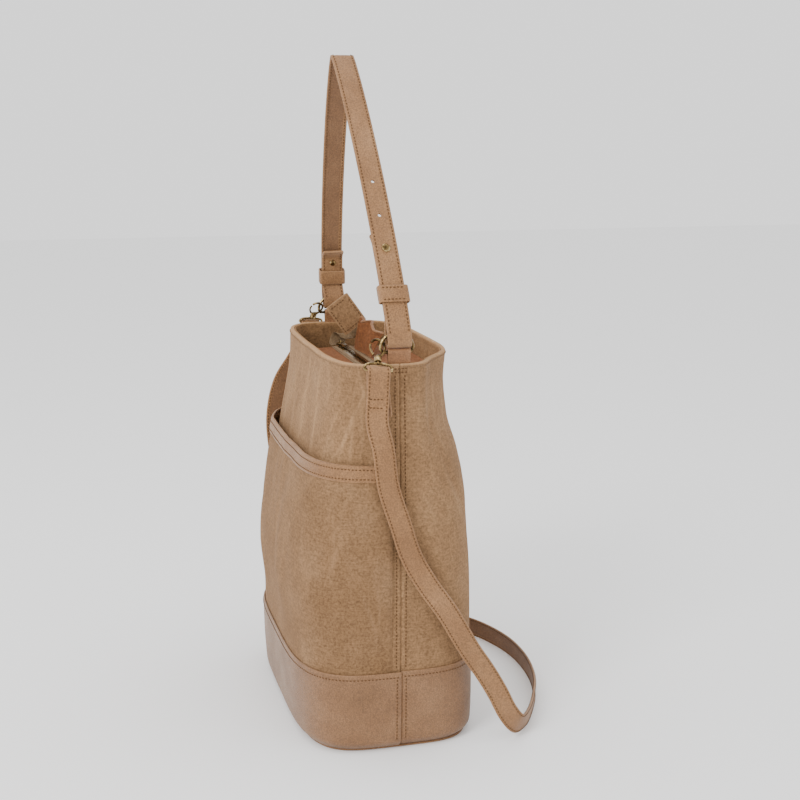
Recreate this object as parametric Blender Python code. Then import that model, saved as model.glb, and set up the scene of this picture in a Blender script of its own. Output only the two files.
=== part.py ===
"""Bucket bag: canvas body on a leather base, slip pocket, zipped mouth,
shoulder strap on two D-rings and a clip-on crossbody strap.

Frame: +Z up, bag centre over the origin, floor at z = 0.
The strap ends are on +X (right) and -X (left); the pocket faces -Y (front).
"""
import math

import bpy
import numpy as np

for old in list(bpy.data.objects):
    bpy.data.objects.remove(old, do_unlink=True)

MM = 0.001

# ---- main sizes, millimetres ------------------------------------------------
RIM_Z = 376.0          # height of the mouth
BASE_Z = 80.0          # top edge of the leather base
BAND_LO = 268.0        # pocket band
BAND_HI = 281.5
ZIP_Z = 356.0          # level of the zip panels
ZIP_Y = -4.0
CLOTH = 1.8            # canvas and leather panel thickness
GAP = 0.3              # clearance between neighbouring layers

# outline of the body by height:
# height, half width, front depth, back depth, corner powers of the four
# quarters (near front, far front, near back, far back), pinch by the seam
SECTIONS = np.array([
    (0, 143, 84, 82, 4.2, 5.0, 4.2, 5.0, 0),
    (12, 147, 88, 86, 4.2, 5.0, 4.2, 5.0, 0),
    (80, 149, 91, 88, 3.8, 4.6, 3.8, 4.6, 0),
    (160, 150, 91, 90, 3.4, 4.2, 3.4, 4.2, 0),
    (230, 149, 85, 88, 3.2, 4.0, 3.1, 4.0, 1),
    (280, 147, 76, 79, 3.2, 4.0, 3.0, 4.0, 4),
    (315, 146, 69, 69, 3.4, 4.0, 2.9, 4.0, 8),
    (345, 145, 63, 67, 3.6, 4.0, 2.8, 4.0, 11),
    (376, 145, 60, 70, 3.8, 4.2, 2.8, 4.2, 13),
], float)


def section(z):
    """Outline parameters at one height, monotone cubic between the rows."""
    zs = SECTIONS[:, 0]
    z = min(max(z, zs[0]), zs[-1])
    i = int(np.searchsorted(zs, z, "right")) - 1
    i = min(max(i, 0), len(zs) - 2)

    def slope(k):
        last = len(zs) - 1
        if k == 0:
            return (SECTIONS[1] - SECTIONS[0]) / (zs[1] - zs[0])
        if k == last:
            return (SECTIONS[last] - SECTIONS[last - 1]) / (zs[last] - zs[last - 1])
        a = (SECTIONS[k] - SECTIONS[k - 1]) / (zs[k] - zs[k - 1])
        b = (SECTIONS[k + 1] - SECTIONS[k]) / (zs[k + 1] - zs[k])
        both = np.where(np.abs(a + b) < 1e-9, 1.0, a + b)
        return np.where(a * b > 0, 2 * a * b / both, 0.0)

    h = zs[i + 1] - zs[i]
    t = (z - zs[i]) / h
    row = (2 * t ** 3 - 3 * t ** 2 + 1) * SECTIONS[i]
    row = row + (t ** 3 - 2 * t ** 2 + t) * h * slope(i)
    row = row + (3 * t ** 2 - 2 * t ** 3) * SECTIONS[i + 1]
    row = row + (t ** 3 - t ** 2) * h * slope(i + 1)
    return row[1:]


def outline(z, tau):
    """Point of the outline at angle tau (0 = right seam, pi = left seam)."""
    half, front, back, nf, ff, nb, fb, pinch = section(z)
    c = math.cos(tau)
    s = math.sin(tau)
    w = (c + 1) / 2
    w = w * w * (3 - 2 * w)
    n = fb + (nb - fb) * w if s >= 0 else ff + (nf - ff) * w
    r = (abs(c) ** n + abs(s) ** n) ** (-1 / n)
    depth = back if s >= 0 else front
    near = math.exp(-(((tau % (2 * math.pi)) - 0.72) / 0.3) ** 2) * pinch
    return np.array([half * c * r - near * 0.6, depth * s * r - near * 0.8])


def layer(z, tau, off):
    """Point at a horizontal distance off outside the outline."""
    a = outline(z, tau - 1e-3)
    b = outline(z, tau + 1e-3)
    t = (b - a) / np.linalg.norm(b - a)
    p = outline(z, tau) + off * np.array([t[1], -t[0]])
    return (p[0], p[1], z)


# ---- materials and mesh helpers -----------------------------------------------
def material(name, rgb, rough, metal=0.0):
    m = bpy.data.materials.new(name)
    m.use_nodes = True
    b = m.node_tree.nodes["Principled BSDF"]
    b.inputs["Base Color"].default_value = (*rgb, 1.0)
    b.inputs["Roughness"].default_value = rough
    b.inputs["Metallic"].default_value = metal
    return m


CANVAS = (0.42, 0.29, 0.19)
LEATHER = (0.40, 0.25, 0.16)
BASE_LEATHER = (0.33, 0.20, 0.13)
RUST = (0.40, 0.16, 0.07)
BRASS = (0.42, 0.31, 0.15)


def make(name, verts, faces, rgb, rough=0.8, metal=0.0, smooth=40.0, pivot=(0, 0, 0)):
    """One named solid; verts in millimetres, origin at the pivot."""
    mesh = bpy.data.meshes.new(name)
    piv = np.array(pivot, float)
    pts = [tuple((np.array(v, float) - piv) * MM) for v in verts]
    mesh.from_pydata(pts, [], faces)
    mesh.update()
    obj = bpy.data.objects.new(name, mesh)
    bpy.context.scene.collection.objects.link(obj)
    obj.location = tuple(piv * MM)
    mesh.materials.append(material(name, rgb, rough, metal))
    fix_normals(mesh)
    mesh.shade_smooth()
    mesh.set_sharp_from_angle(angle=math.radians(smooth))
    return obj


def fix_normals(mesh):
    import bmesh
    bm = bmesh.new()
    bm.from_mesh(mesh)
    bmesh.ops.recalc_face_normals(bm, faces=bm.faces)
    bm.to_mesh(mesh)
    bm.free()


def skin(outer, inner, wrap=False):
    """Closed solid between two equal grids of points."""
    rows = len(outer)
    cols = len(outer[0])
    verts = [p for row in outer for p in row] + [p for row in inner for p in row]
    m = rows * cols
    faces = []
    for i in range(rows - 1):
        for j in range(cols if wrap else cols - 1):
            k = (j + 1) % cols
            a, b, c, d = i * cols + j, i * cols + k, (i + 1) * cols + k, (i + 1) * cols + j
            faces.append((a, b, c, d))
            faces.append((m + d, m + c, m + b, m + a))
    for i in (0, rows - 1):
        for j in range(cols if wrap else cols - 1):
            k = (j + 1) % cols
            faces.append((i * cols + j, m + i * cols + j, m + i * cols + k, i * cols + k))
    if not wrap:
        for j in (0, cols - 1):
            for i in range(rows - 1):
                a, b = i * cols + j, (i + 1) * cols + j
                faces.append((a, b, m + b, m + a))
    return verts, faces


def wall(name, taus, outer, inner, rgb, rough=0.85):
    """Layer along the outline; outer and inner give (z, off) rows for a tau."""
    o = [[layer(z, t, off) for z, off in outer(t)] for t in taus]
    i = [[layer(z, t, off) for z, off in inner(t)] for t in taus]
    v, f = skin(o, i)
    return make(name, v, f, rgb, rough)


def prism(name, outline_xy, z0, z1, rgb, rough=0.8, metal=0.0, pivot=(0, 0, 0)):
    n = len(outline_xy)
    verts = [(x, y, z0) for x, y in outline_xy] + [(x, y, z1) for x, y in outline_xy]
    faces = [tuple(range(n - 1, -1, -1)), tuple(range(n, 2 * n))]
    faces += [(i, (i + 1) % n, n + (i + 1) % n, n + i) for i in range(n)]
    return make(name, verts, faces, rgb, rough, metal, 30.0, pivot)


def spline(points, step, closed=False):
    """Evenly spaced points on a Catmull-Rom curve through the given points."""
    p = np.array(points, float)
    n = len(p)
    out = []
    spans = n if closed else n - 1
    for i in range(spans):
        if closed:
            p0, p1, p2, p3 = p[i - 1], p[i], p[(i + 1) % n], p[(i + 2) % n]
        else:
            p1, p2 = p[i], p[i + 1]
            p0 = p[i - 1] if i > 0 else 2 * p1 - p2
            p3 = p[i + 2] if i + 2 < n else 2 * p2 - p1
        d = [max(np.linalg.norm(b[:3] - a[:3]), 1e-6) ** 0.5
             for a, b in ((p0, p1), (p1, p2), (p2, p3))]
        m1 = (p1 - p0) / d[0] * d[1] - (p2 - p0) / (d[0] + d[1]) * d[1] + (p2 - p1)
        m2 = (p2 - p1) - (p3 - p1) / (d[1] + d[2]) * d[1] + (p3 - p2) / d[2] * d[1]
        for t in np.linspace(0, 1, 24, endpoint=False):
            a = 2 * t ** 3 - 3 * t ** 2 + 1
            b = t ** 3 - 2 * t ** 2 + t
            c = 3 * t ** 2 - 2 * t ** 3
            e = t ** 3 - t ** 2
            out.append(a * p1 + b * m1 + c * p2 + e * m2)
    if not closed:
        out.append(p[-1])
    else:
        out.append(out[0])
    out = np.array(out)
    seg = np.linalg.norm(np.diff(out[:, :3], axis=0), axis=1)
    s = np.concatenate([[0], np.cumsum(seg)])
    count = max(int(round(s[-1] / step)), 4)
    at = np.linspace(0, s[-1], count + 1)
    if closed:
        at = at[:-1]
    return np.array([[np.interp(a, s, out[:, k]) for k in range(out.shape[1])] for a in at])


def thin(table, longest, turn=16.0):
    """Keep only the points a bend needs, never further apart than longest."""
    keep = [0]
    t = tangents(table[:, :3])
    for i in range(1, len(table) - 1):
        gone = np.linalg.norm(table[i, :3] - table[keep[-1], :3])
        bend = math.degrees(math.acos(min(1.0, float(t[i] @ t[keep[-1]]))))
        if gone > longest or bend > turn:
            keep.append(i)
    return table[keep + [len(table) - 1]]


def tangents(pts, closed=False):
    if closed:
        t = np.roll(pts, -1, 0) - np.roll(pts, 1, 0)
    else:
        t = np.gradient(pts, axis=0)
    return t / np.linalg.norm(t, axis=1)[:, None]


def tube_data(pts, radii, sides=10, closed=False, up=(0.0, 0.0, 1.0)):
    """Round bar along points."""
    pts = np.array(pts, float)
    t = tangents(pts, closed)
    u = np.cross(t[0], up)
    if np.linalg.norm(u) < 1e-3:
        u = np.cross(t[0], (1.0, 0.0, 0.0))
    verts = []
    n = len(pts)
    for i in range(n):
        u = u - t[i] * (u @ t[i])
        u = u / np.linalg.norm(u)
        v = np.cross(t[i], u)
        for k in range(sides):
            a = 2 * math.pi * k / sides
            verts.append(tuple(pts[i] + radii[i] * (math.cos(a) * u + math.sin(a) * v)))
    faces = []
    for i in range(n if closed else n - 1):
        j = (i + 1) % n
        for k in range(sides):
            m = (k + 1) % sides
            faces.append((i * sides + k, i * sides + m, j * sides + m, j * sides + k))
    if not closed:
        faces.append(tuple(range(sides - 1, -1, -1)))
        faces.append(tuple((n - 1) * sides + k for k in range(sides)))
    return verts, faces


def ribbon_data(pts, wide, width, thick, cols=2):
    """Flat strap along points; wide holds the width direction at each point."""
    pts = np.array(pts, float)
    t = tangents(pts)
    outer, inner = [], []
    n = len(pts)
    for i in range(n):
        w = wide[i] - t[i] * (wide[i] @ t[i])
        w = w / np.linalg.norm(w)
        nor = np.cross(w, t[i])
        half = width / 2
        ks = np.linspace(-1, 1, cols)
        outer.append([tuple(pts[i] + w * half * k + nor * thick / 2) for k in ks])
        inner.append([tuple(pts[i] + w * half * k - nor * thick / 2) for k in ks])
    return skin(outer, inner)


def lathe_data(profile, base, axis, sides=16):
    """Turned solid: profile of (distance along axis, radius) from the base."""
    axis = np.array(axis, float)
    axis = axis / np.linalg.norm(axis)
    u = np.cross(axis, (0.0, 1.0, 0.0))
    u = u / np.linalg.norm(u)
    v = np.cross(axis, u)
    verts = []
    for d, r in profile:
        for k in range(sides):
            a = 2 * math.pi * k / sides
            p = np.array(base) + axis * d + r * (math.cos(a) * u + math.sin(a) * v)
            verts.append(tuple(p))
    n = len(profile)
    faces = [(i * sides + k, i * sides + (k + 1) % sides,
              (i + 1) * sides + (k + 1) % sides, (i + 1) * sides + k)
             for i in range(n - 1) for k in range(sides)]
    faces.append(tuple(range(sides - 1, -1, -1)))
    faces.append(tuple((n - 1) * sides + k for k in range(sides)))
    return verts, faces


def combine(obj, tool, operation):
    """Join or cut with another solid and keep the result in obj."""
    mod = obj.modifiers.new("combine", "BOOLEAN")
    mod.operation = operation
    mod.solver = "EXACT"
    mod.object = tool
    bpy.context.view_layer.update()
    graph = bpy.context.evaluated_depsgraph_get()
    result = bpy.data.meshes.new_from_object(obj.evaluated_get(graph))
    obj.modifiers.clear()
    slot = obj.data.materials[0]
    obj.data = result
    result.materials.clear()
    result.materials.append(slot)
    for poly in result.polygons:
        poly.material_index = 0
    bpy.data.objects.remove(tool, do_unlink=True)
    return obj


# ---- body -----------------------------------------------------------------------
SEAM = 0.003
BACK = np.linspace(SEAM, math.pi - SEAM, 23)
FRONT = np.linspace(math.pi + SEAM, 2 * math.pi - SEAM, 23)
CLOTH_Z = [66, 80, 110, 160, 205, 245, 280, 305, 330, 350]
HEM_Z = [RIM_Z - 13, RIM_Z - 12, RIM_Z - 5, RIM_Z]


def side_gap(tau):
    """1 away from the side seams, 0 where the ring tabs pass under the hem."""
    y = abs(layer(RIM_Z, tau, 0.0)[1])
    return min(max((y - 14.0) / 6.0, 0.0), 1.0)


def cloth_out(tau):
    return [(z, 0.0) for z in CLOTH_Z + HEM_Z]


def cloth_in(tau):
    deep = CLOTH + 2.5 * side_gap(tau)
    flat = [(z, -CLOTH) for z in CLOTH_Z + HEM_Z[:1]]
    return flat + [(z, -deep) for z in HEM_Z[1:]]


wall("front_panel", FRONT, cloth_out, cloth_in, CANVAS, 0.9)
wall("back_panel", BACK, cloth_out, cloth_in, CANVAS, 0.9)


def room(tau, z):
    """Depth of the slip pocket behind its cloth."""
    across = max(0.0, -math.sin(tau)) ** 0.5
    rise = min(max((z - 95.0) / 60.0, 0.0), 1.0)
    return GAP + 6.5 * across * rise * rise * (3 - 2 * rise)


POCKET_Z = [62, 80, 96, 110, 125, 140, 160, 205, 245, 268, 280]
POCKET_T = FRONT[1:-1]
wall("front_pocket", POCKET_T,
     lambda t: [(z, room(t, z) + 1.5) for z in POCKET_Z],
     lambda t: [(z, room(t, z)) for z in POCKET_Z], CANVAS, 0.9)


def band_out(tau):
    lo, hi = room(tau, BAND_LO), room(tau, BAND_HI)
    return [(BAND_LO - 1, lo + 3.0), (BAND_LO + 6, lo + 3.1), (BAND_HI - 2, hi + 3.1),
            (BAND_HI + 0.6, hi + 2.4), (BAND_HI + 1.4, hi + 0.8), (BAND_HI + 1.2, hi + 0.2)]


def band_in(tau):
    lo, hi = room(tau, BAND_LO), room(tau, BAND_HI)
    return [(BAND_LO - 1, lo + 1.8), (BAND_LO + 6, lo + 1.8), (BAND_HI - 2, hi + 1.8),
            (BAND_HI - 0.9, hi + 1.6), (BAND_HI - 0.7, hi + 0.9), (BAND_HI - 0.8, hi + 0.2)]


wall("pocket_band", POCKET_T, band_out, band_in, LEATHER, 0.6)

WRAP_Z = [2.6, 4.5, 8, 16, 40, 62, BASE_Z]


def wrap(tau, off):
    """Leather base wall, rounded in at its foot."""
    tuck = {2.6: -5.0, 4.5: -2.4, 8: -0.7}
    return [(z, off + tuck.get(z, 0.0)) for z in WRAP_Z]


wall("front_base_wrap", FRONT, lambda t: wrap(t, 3.9), lambda t: wrap(t, 2.1),
     BASE_LEATHER, 0.55)
wall("back_base_wrap", BACK, lambda t: wrap(t, 2.1), lambda t: wrap(t, 0.3),
     BASE_LEATHER, 0.55)

ROUND = np.concatenate([BACK, FRONT])


def plate(name, z0, z1, off, rgb, rough):
    pts = [layer(8.0, t, off)[:2] for t in ROUND]
    prism(name, pts, z0, z1, rgb, rough)


plate("base_panel", 0.0, 2.2, -2.5, BASE_LEATHER, 0.6)
plate("base_board", 2.6, 4.6, -9.5, (0.10, 0.09, 0.08), 0.8)


def bucket_rows(off, floor, top):
    rows = []
    for s in (0.05, 0.5, 0.9):
        rows.append([(layer(10.0, t, off)[0] * s, layer(10.0, t, off)[1] * s, floor)
                     for t in ROUND])
    heights = [floor, floor + 6, 30, 80, 160, 205, 245, 280, 305, 330, top]
    for z in heights:
        inset = -1.5 if z == floor else 0.0
        rows.append([layer(z, t, off + inset) for t in ROUND])
    return rows


def lining():
    """Cloth bucket with one continuous floor."""
    out = bucket_rows(-4.4, 5.2, RIM_Z - 22)
    inn = bucket_rows(-5.2, 6.0, RIM_Z - 22)
    verts, faces = skin(out, inn, wrap=True)
    n = len(ROUND)
    total = len(out) * n
    # the first rows close the middle of the floor
    faces = [f for f in faces if not all(i % total < n for i in f)]
    a = len(verts)
    verts = verts + [(0.0, 0.0, 5.2), (0.0, 0.0, 6.0)]
    for j in range(n):
        k = (j + 1) % n
        faces.append((j, k, a))
        faces.append((total + k, total + j, a + 1))
    make("lining", verts, faces, RUST, 0.95)


lining()

FACE_Z = [RIM_Z - 40, RIM_Z - 30, RIM_Z - 20, RIM_Z - 10, RIM_Z - 0.5]
for label, taus in (("front", FRONT), ("back", BACK)):
    wall(label + "_facing", taus, lambda t: [(z, -6.4) for z in FACE_Z],
         lambda t: [(z, -7.5) for z in FACE_Z], CANVAS, 0.9)

# ---- ring tabs, D-rings ----------------------------------------------------------
TAB_X = 140.7
BAR_Z = RIM_Z + 10.5
RING_Y = -2.0
RING_HALF = 15.6
RING_RISE = 16.3
RING_WIRE = 1.5

for label, side in (("right", 1), ("left", -1)):
    # tab: leather folded over the flat bar of the ring, both ends in the hem
    path = [(0.75, RIM_Z - 17), (0.75, RIM_Z - 8), (0.8, RIM_Z + 1), (1.4, RIM_Z + 5)]
    path += [(2.75 * math.cos(a), BAR_Z + 2.75 * math.sin(a))
             for a in np.linspace(-0.5, math.pi + 0.5, 11)]
    path += [(-1.4, RIM_Z + 5), (-0.8, RIM_Z + 1), (-0.75, RIM_Z - 8), (-0.75, RIM_Z - 17)]
    pts = thin(spline([(side * TAB_X + x, 0.0, z) for x, z in path], 0.8), 8.0, 22.0)
    v, f = ribbon_data(pts, [np.array((0.0, 1.0, 0.0))] * len(pts), 21.6, 1.2)
    make("side_tab_" + label, v, f, LEATHER, 0.6)
    # D-ring: straight bar below, arc above
    loop = [(0.0, y, 0.0) for y in np.linspace(-RING_HALF + 2.2, RING_HALF - 2.2, 8)]
    for a in np.linspace(0.22, math.pi - 0.22, 20):
        c, s = math.cos(a), math.sin(a)
        r = (abs(c) ** 2.6 + s ** 2.6) ** (-1 / 2.6)
        loop.append((0.0, RING_HALF * c * r, RING_RISE * s * r))
    pts = [(side * TAB_X + x, RING_Y + y, BAR_Z + z) for x, y, z in loop]
    pts = spline(pts, 3.2, closed=True)
    v, f = tube_data(pts, [RING_WIRE] * len(pts), 10, closed=True, up=(1, 0, 0))
    make("d_ring_" + label, v, f, BRASS, 0.35, 1.0, 50.0,
         pivot=(side * TAB_X, RING_Y, BAR_Z))

# ---- shoulder strap ----------------------------------------------------------------
STRAP_W = 23.0
STRAP_T = 2.4
TOP_Z = 655.0
LOW_Z = RIM_Z + 27.0
PLY = 3.0              # distance between the centres of the folded plies
LEAN = -20.0           # how far the top of the strap leans to the front


def lean(p):
    """Shear the strap plane slightly to the front."""
    k = max(p[2] - (RIM_Z + 16.0), 0.0) / (TOP_Z - RIM_Z - 16.0)
    return (p[0], p[1] + LEAN * k, p[2])


def leg_x(z):
    t = min(max((z - LOW_Z) / (TOP_Z - LOW_Z), 0.0), 1.0)
    return 146.8 * (1 - t ** 1.25) ** 0.85


def leg_dir(z):
    """Unit tangent (going up) of the right leg in the XZ plane."""
    d = np.array([leg_x(z + 0.5) - leg_x(z - 0.5), 1.0])
    return d / np.linalg.norm(d)


def strap_end(tip_z, stud_z):
    """Inner ply and loop of one strap end, tip first, in the XZ plane."""
    out = []
    for z, extra in ((tip_z, 6.0), (tip_z - 4, 3.0), (tip_z - 8, 0.8), (stud_z + 5, 0.0),
                     (stud_z, 0.0)):
        t = leg_dir(z)
        out.append((leg_x(z) - (PLY + extra) * t[1], z + (PLY + extra) * t[0]))
    z = stud_z - 9
    while z > RIM_Z + 46:
        t = leg_dir(z)
        out.append((leg_x(z) - PLY * t[1], z + PLY * t[0]))
        z = z - 9
    t = leg_dir(RIM_Z + 42)
    low = [(136.6, RIM_Z + 29),
           (136.4, RIM_Z + 20.4), (138.0, RIM_Z + 16.9), (141.0, RIM_Z + 15.7),
           (144.3, RIM_Z + 16.5), (146.4, RIM_Z + 20.0)]
    out.append((leg_x(RIM_Z + 42) - PLY * t[1], RIM_Z + 42 + PLY * t[0]))
    return out + low


ENDS = {
    "right": dict(side=1, tip=RIM_Z + 118, stud=RIM_Z + 103, keeper=RIM_Z + 63),
    "left": dict(side=-1, tip=RIM_Z + 82.5, stud=RIM_Z + 68, keeper=RIM_Z + 51),
}


def strap_path():
    right = strap_end(ENDS["right"]["tip"], ENDS["right"]["stud"])
    left = strap_end(ENDS["left"]["tip"], ENDS["left"]["stud"])
    up = [(leg_x(z), z) for z in np.linspace(LOW_Z + 4, TOP_Z - 30, 14)]
    top = [(leg_x(z), z) for z in (TOP_Z - 18, TOP_Z - 9, TOP_Z - 3)]
    arch = up + top + [(0.0, TOP_Z)]
    arch += [(-x, z) for x, z in reversed(up + top)]
    flat = right + arch + [(-x, z) for x, z in reversed(left)]
    return thin(spline([(x, 0.0, z) for x, z in flat], 0.9), 12.0)


def on_strap(side, z, along=0.0):
    """Point on the outer face line of a leg and the outward normal."""
    t = leg_dir(z)
    return np.array([side * leg_x(z), 0.0, z]), np.array([side * t[1], 0.0, -t[0]])


def leaned(verts):
    return [lean(v) for v in verts]


def hole_cutter(spots):
    verts, faces = [], []
    for p, n, r, lo, hi in spots:
        v, f = lathe_data([(0.0, r), (hi - lo, r)], p + n * lo, n, 12)
        k = len(verts)
        verts = verts + v
        faces = faces + [tuple(i + k for i in face) for face in f]
    return make("cutter", leaned(verts), faces, BRASS)


path = strap_path()
wide = [np.array((0.0, 1.0, 0.0))] * len(path)
verts, faces = ribbon_data(path, wide, STRAP_W, STRAP_T)
strap = make("shoulder_strap", leaned(verts), faces, LEATHER, 0.6,
             pivot=(0.0, RING_Y, BAR_Z))
spots = []
for end in ENDS.values():
    p, n = on_strap(end["side"], end["stud"])
    spots.append((p, n, 2.2, -9.0, 4.0))
for height in (132.0, 162.0):
    p, n = on_strap(1, RIM_Z + height)
    spots.append((p, n, 1.7, -4.0, 4.0))
for spot in spots:
    combine(strap, hole_cutter([spot]), "DIFFERENCE")

for label, end in ENDS.items():
    side = end["side"]
    # stud: flat foot outside, ball head inside
    p, n = on_strap(side, end["stud"])
    profile = [(0.0, 1.6), (0.5, 2.9), (1.6, 3.5), (2.6, 2.9), (3.2, 1.6), (9.4, 1.6),
               (9.5, 3.9), (10.2, 4.0), (11.0, 3.0), (11.4, 1.2)]
    v, f = lathe_data(profile, p - n * 7.8, n, 16)
    make("strap_stud_" + label, leaned(v), f, BRASS, 0.35, 1.0, 45.0)
    # keeper: closed leather band round both plies
    p, n = on_strap(side, end["keeper"])
    t = np.array([-side * leg_dir(end["keeper"])[0] * -1, 0.0, leg_dir(end["keeper"])[1]])
    mid = p - n * PLY / 2
    ring = []
    half_w, half_t, r = STRAP_W / 2 + 1.4, (PLY + STRAP_T) / 2 + 1.2, 1.2
    for sy, sn, a0 in ((1, 1, 0), (-1, 1, 1), (-1, -1, 2), (1, -1, 3)):
        for a in (0.0, 45.0, 90.0):
            ang = math.radians(a + 90 * a0)
            ring.append((sy * (half_w - r) + r * math.cos(ang),
                         sn * (half_t - r) + r * math.sin(ang)))
    rows_o, rows_i = [], []
    for h in (-8.0, -7.2, 0.0, 7.2, 8.0):
        grow = 0.5 if abs(h) > 7.5 else 0.0
        o, i = [], []
        for y, d in ring:
            s = 1 + (1.4 - grow) / math.hypot(y, d)
            k = 1.4 - grow
            oy = y + k * (1 if y > 0 else -1)
            od = d + k * (1 if d > 0 else -1)
            o.append(tuple(mid + t * h + n * od + np.array((0.0, oy, 0.0))))
            i.append(tuple(mid + t * h + n * d + np.array((0.0, y, 0.0))))
        rows_o.append(o)
        rows_i.append(i)
    v, f = skin(rows_o, rows_i, wrap=True)
    make("strap_keeper_" + label, leaned(v), f, LEATHER, 0.6)

# ---- swivel hooks --------------------------------------------------------------------
HOOK_W = np.array((-0.75, 0.15, 0.77))      # from the eye to the claw, right side
HOOK_W = HOOK_W / np.linalg.norm(HOOK_W)
CLAW = np.array((141.0, -20.2, 391.0))      # centre of the claw, right side
EYE_BAR = CLAW - 25.5 * HOOK_W
CLAW_A = 6.7
CLAW_B = 9.2
CLAW_WIRE = 1.15
HOOK_U = np.array((0.0, 1.0, 0.0)) - HOOK_W * HOOK_W[1]
HOOK_U = HOOK_U / np.linalg.norm(HOOK_U)
HOOK_N = np.cross(HOOK_U, HOOK_W)


def hook_point(side, u, w, n=0.0):
    """Hook frame: u across, w along the hook, n out of its plane."""
    p = EYE_BAR + w * HOOK_W + u * HOOK_U + n * HOOK_N
    return np.array((side * p[0], p[1], p[2]))


for label, side in (("right", 1), ("left", -1)):
    axis = hook_point(side, 0, 1) - hook_point(side, 0, 0)
    # eye: wide loop for the strap with a swivel post
    loop = [(u, 0.0) for u in np.linspace(-11.2, 11.2, 9)]
    loop += [(12.6, 1.6), (12.4, 4.4), (9.5, 6.8), (5.0, 7.7), (0.0, 8.0),
             (-5.0, 7.7), (-9.5, 6.8), (-12.4, 4.4), (-12.6, 1.6)]
    pts = spline([hook_point(side, u, w) for u, w in loop], 2.4, closed=True)
    v, f = tube_data(pts, [1.3] * len(pts), 8, closed=True, up=(1, 0, 0))
    eye = make("hook_eye_" + label, v, f, BRASS, 0.35, 1.0, 50.0)
    v, f = lathe_data([(0.0, 1.5), (5.6, 1.5)], hook_point(side, 0, 7.2), axis, 12)
    combine(eye, make("post", v, f, BRASS), "UNION")
    # claw: barrel with a bore for the post, neck and open oval
    line = [(0.0, 9.9), (0.0, 10.8), (0.0, 12.5), (0.0, 14.4), (0.0, 15.2), (0.6, 16.0),
            (2.6, 16.9)]
    rad = [3.0, 3.5, 3.5, 3.5, 2.8, 2.0, 1.6]
    for a in np.linspace(math.radians(232), math.radians(40), 19):
        line.append((-CLAW_A * math.cos(a), 25.5 + CLAW_B * math.sin(a)))
        rad.append(CLAW_WIRE)
    rad[-1] = 1.1
    pts = [hook_point(side, u, w) for u, w in line]
    v, f = tube_data(pts, rad, 12, up=(0, 1, 0))
    claw = make("hook_claw_" + label, v, f, BRASS, 0.35, 1.0, 50.0,
                pivot=tuple(hook_point(side, 0, 12)))
    v, f = lathe_data([(0.0, 1.85), (4.0, 1.85)], hook_point(side, 0, 9.2), axis, 12)
    combine(claw, make("bore", v, f, BRASS), "DIFFERENCE")
    # gate: sprung lever closing the oval on its free side
    line, rad = [], []
    for a in np.linspace(math.radians(-47), math.radians(21), 9):
        line.append((-CLAW_A * math.cos(a), 25.5 + CLAW_B * math.sin(a)))
        rad.append(1.0)
    line.insert(0, (-3.9, 17.6))
    rad.insert(0, 1.2)
    pts = [hook_point(side, u, w) for u, w in line]
    v, f = tube_data(pts, rad, 10, up=(0, 1, 0))
    make("hook_gate_" + label, v, f, BRASS, 0.35, 1.0, 50.0,
         pivot=tuple(hook_point(side, -3.9, 17.6)))

# ---- crossbody strap -------------------------------------------------------------------
BODY_STRAP_W = 21.0
BODY_STRAP_T = 2.0
bx, by, bz = EYE_BAR
flat = tuple(HOOK_U)
mirror = (-HOOK_U[0], HOOK_U[1], HOOK_U[2])


def fold(x, first):
    """Half turn of the strap over the bar of the eye."""
    out = []
    for deg in (-12, 25, 60, 90, 120, 155, 192):
        a = math.radians(deg)
        out.append((x + first * 3.2 * math.cos(a), by, bz + 3.2 * math.sin(a),
                    flat if x > 0 else mirror))
    return out


route = [
    (bx - 2.4, by + 3.0, 329, flat), (bx - 1.9, by + 1.2, 345, flat),
    (bx - 2.1, by, bz - 8, flat), *fold(bx, -1), (bx + 2.0, by, bz - 8, flat), (bx + 2.0, by - 1.0, 345, flat),
    (bx + 2.0, by - 1.6, 326, flat), (159.5, -19.0, 298, (0, 1, 0.1)),
    (159.0, -14.5, 264, (0, 1, 0.15)), (159.5, -4.0, 230, (0, 1, 0.25)),
    (160.5, 7.0, 196, (0, 0.95, 0.35)), (161.0, 23.0, 167, (0, 0.9, 0.5)),
    (160.5, 42.0, 139, (0, 0.85, 0.55)), (158.0, 65.0, 99, (-0.05, 0.88, 0.5)),
    (157.0, 82.0, 73, (-0.1, 0.92, 0.45)), (158.0, 94.0, 52, (-0.1, 0.92, 0.5)),
    (159.0, 105.0, 30, (-0.1, 0.8, 0.7)), (154.0, 117.0, 15.5, (0, 0.5, 0.9)),
    (136.0, 132.0, 11.6, (0, 0.25, 1)), (100.0, 152.0, 11.4, (0, 0.1, 1)),
    (55.0, 170.0, 11.4, (0, 0, 1)), (0.0, 180.0, 11.4, (0, 0, 1)),
    (-60.0, 178.0, 11.4, (0, 0, 1)), (-120.0, 158.0, 11.4, (0, 0, 1)),
    (-165.0, 118.0, 13.0, (0, 0, 1)), (-190.0, 65.0, 25.0, (0.1, 0.2, 1)),
    (-197.0, 20.0, 58.0, (0.2, 0.6, 0.8)), (-194.0, -16.0, 105.0, (0.1, 0.9, 0.5)),
    (-184.0, -44.0, 160.0, (0, 0.95, 0.35)), (-175.0, -58.0, 215.0, (0, 1, 0.2)),
    (-170.0, -63.0, 265.0, (0, 1, 0)), (-168.0, -55.0, 305.0, (0, 1, -0.25)),
    (-bx - 2.8, by - 17.0, 331, (0, 1, -0.3)),
    (-bx - 2.2, by - 3.5, bz - 21, (0, 1, -0.12)), (-bx - 2.0, by, bz - 13, mirror),
    (-bx - 2.0, by, bz - 8, mirror),
    *fold(-bx, -1), (-bx + 2.1, by, bz - 8, mirror),
    (-bx + 1.9, by + 1.2, 345, mirror), (-bx + 2.4, by + 3.0, 329, mirror),
]
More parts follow.
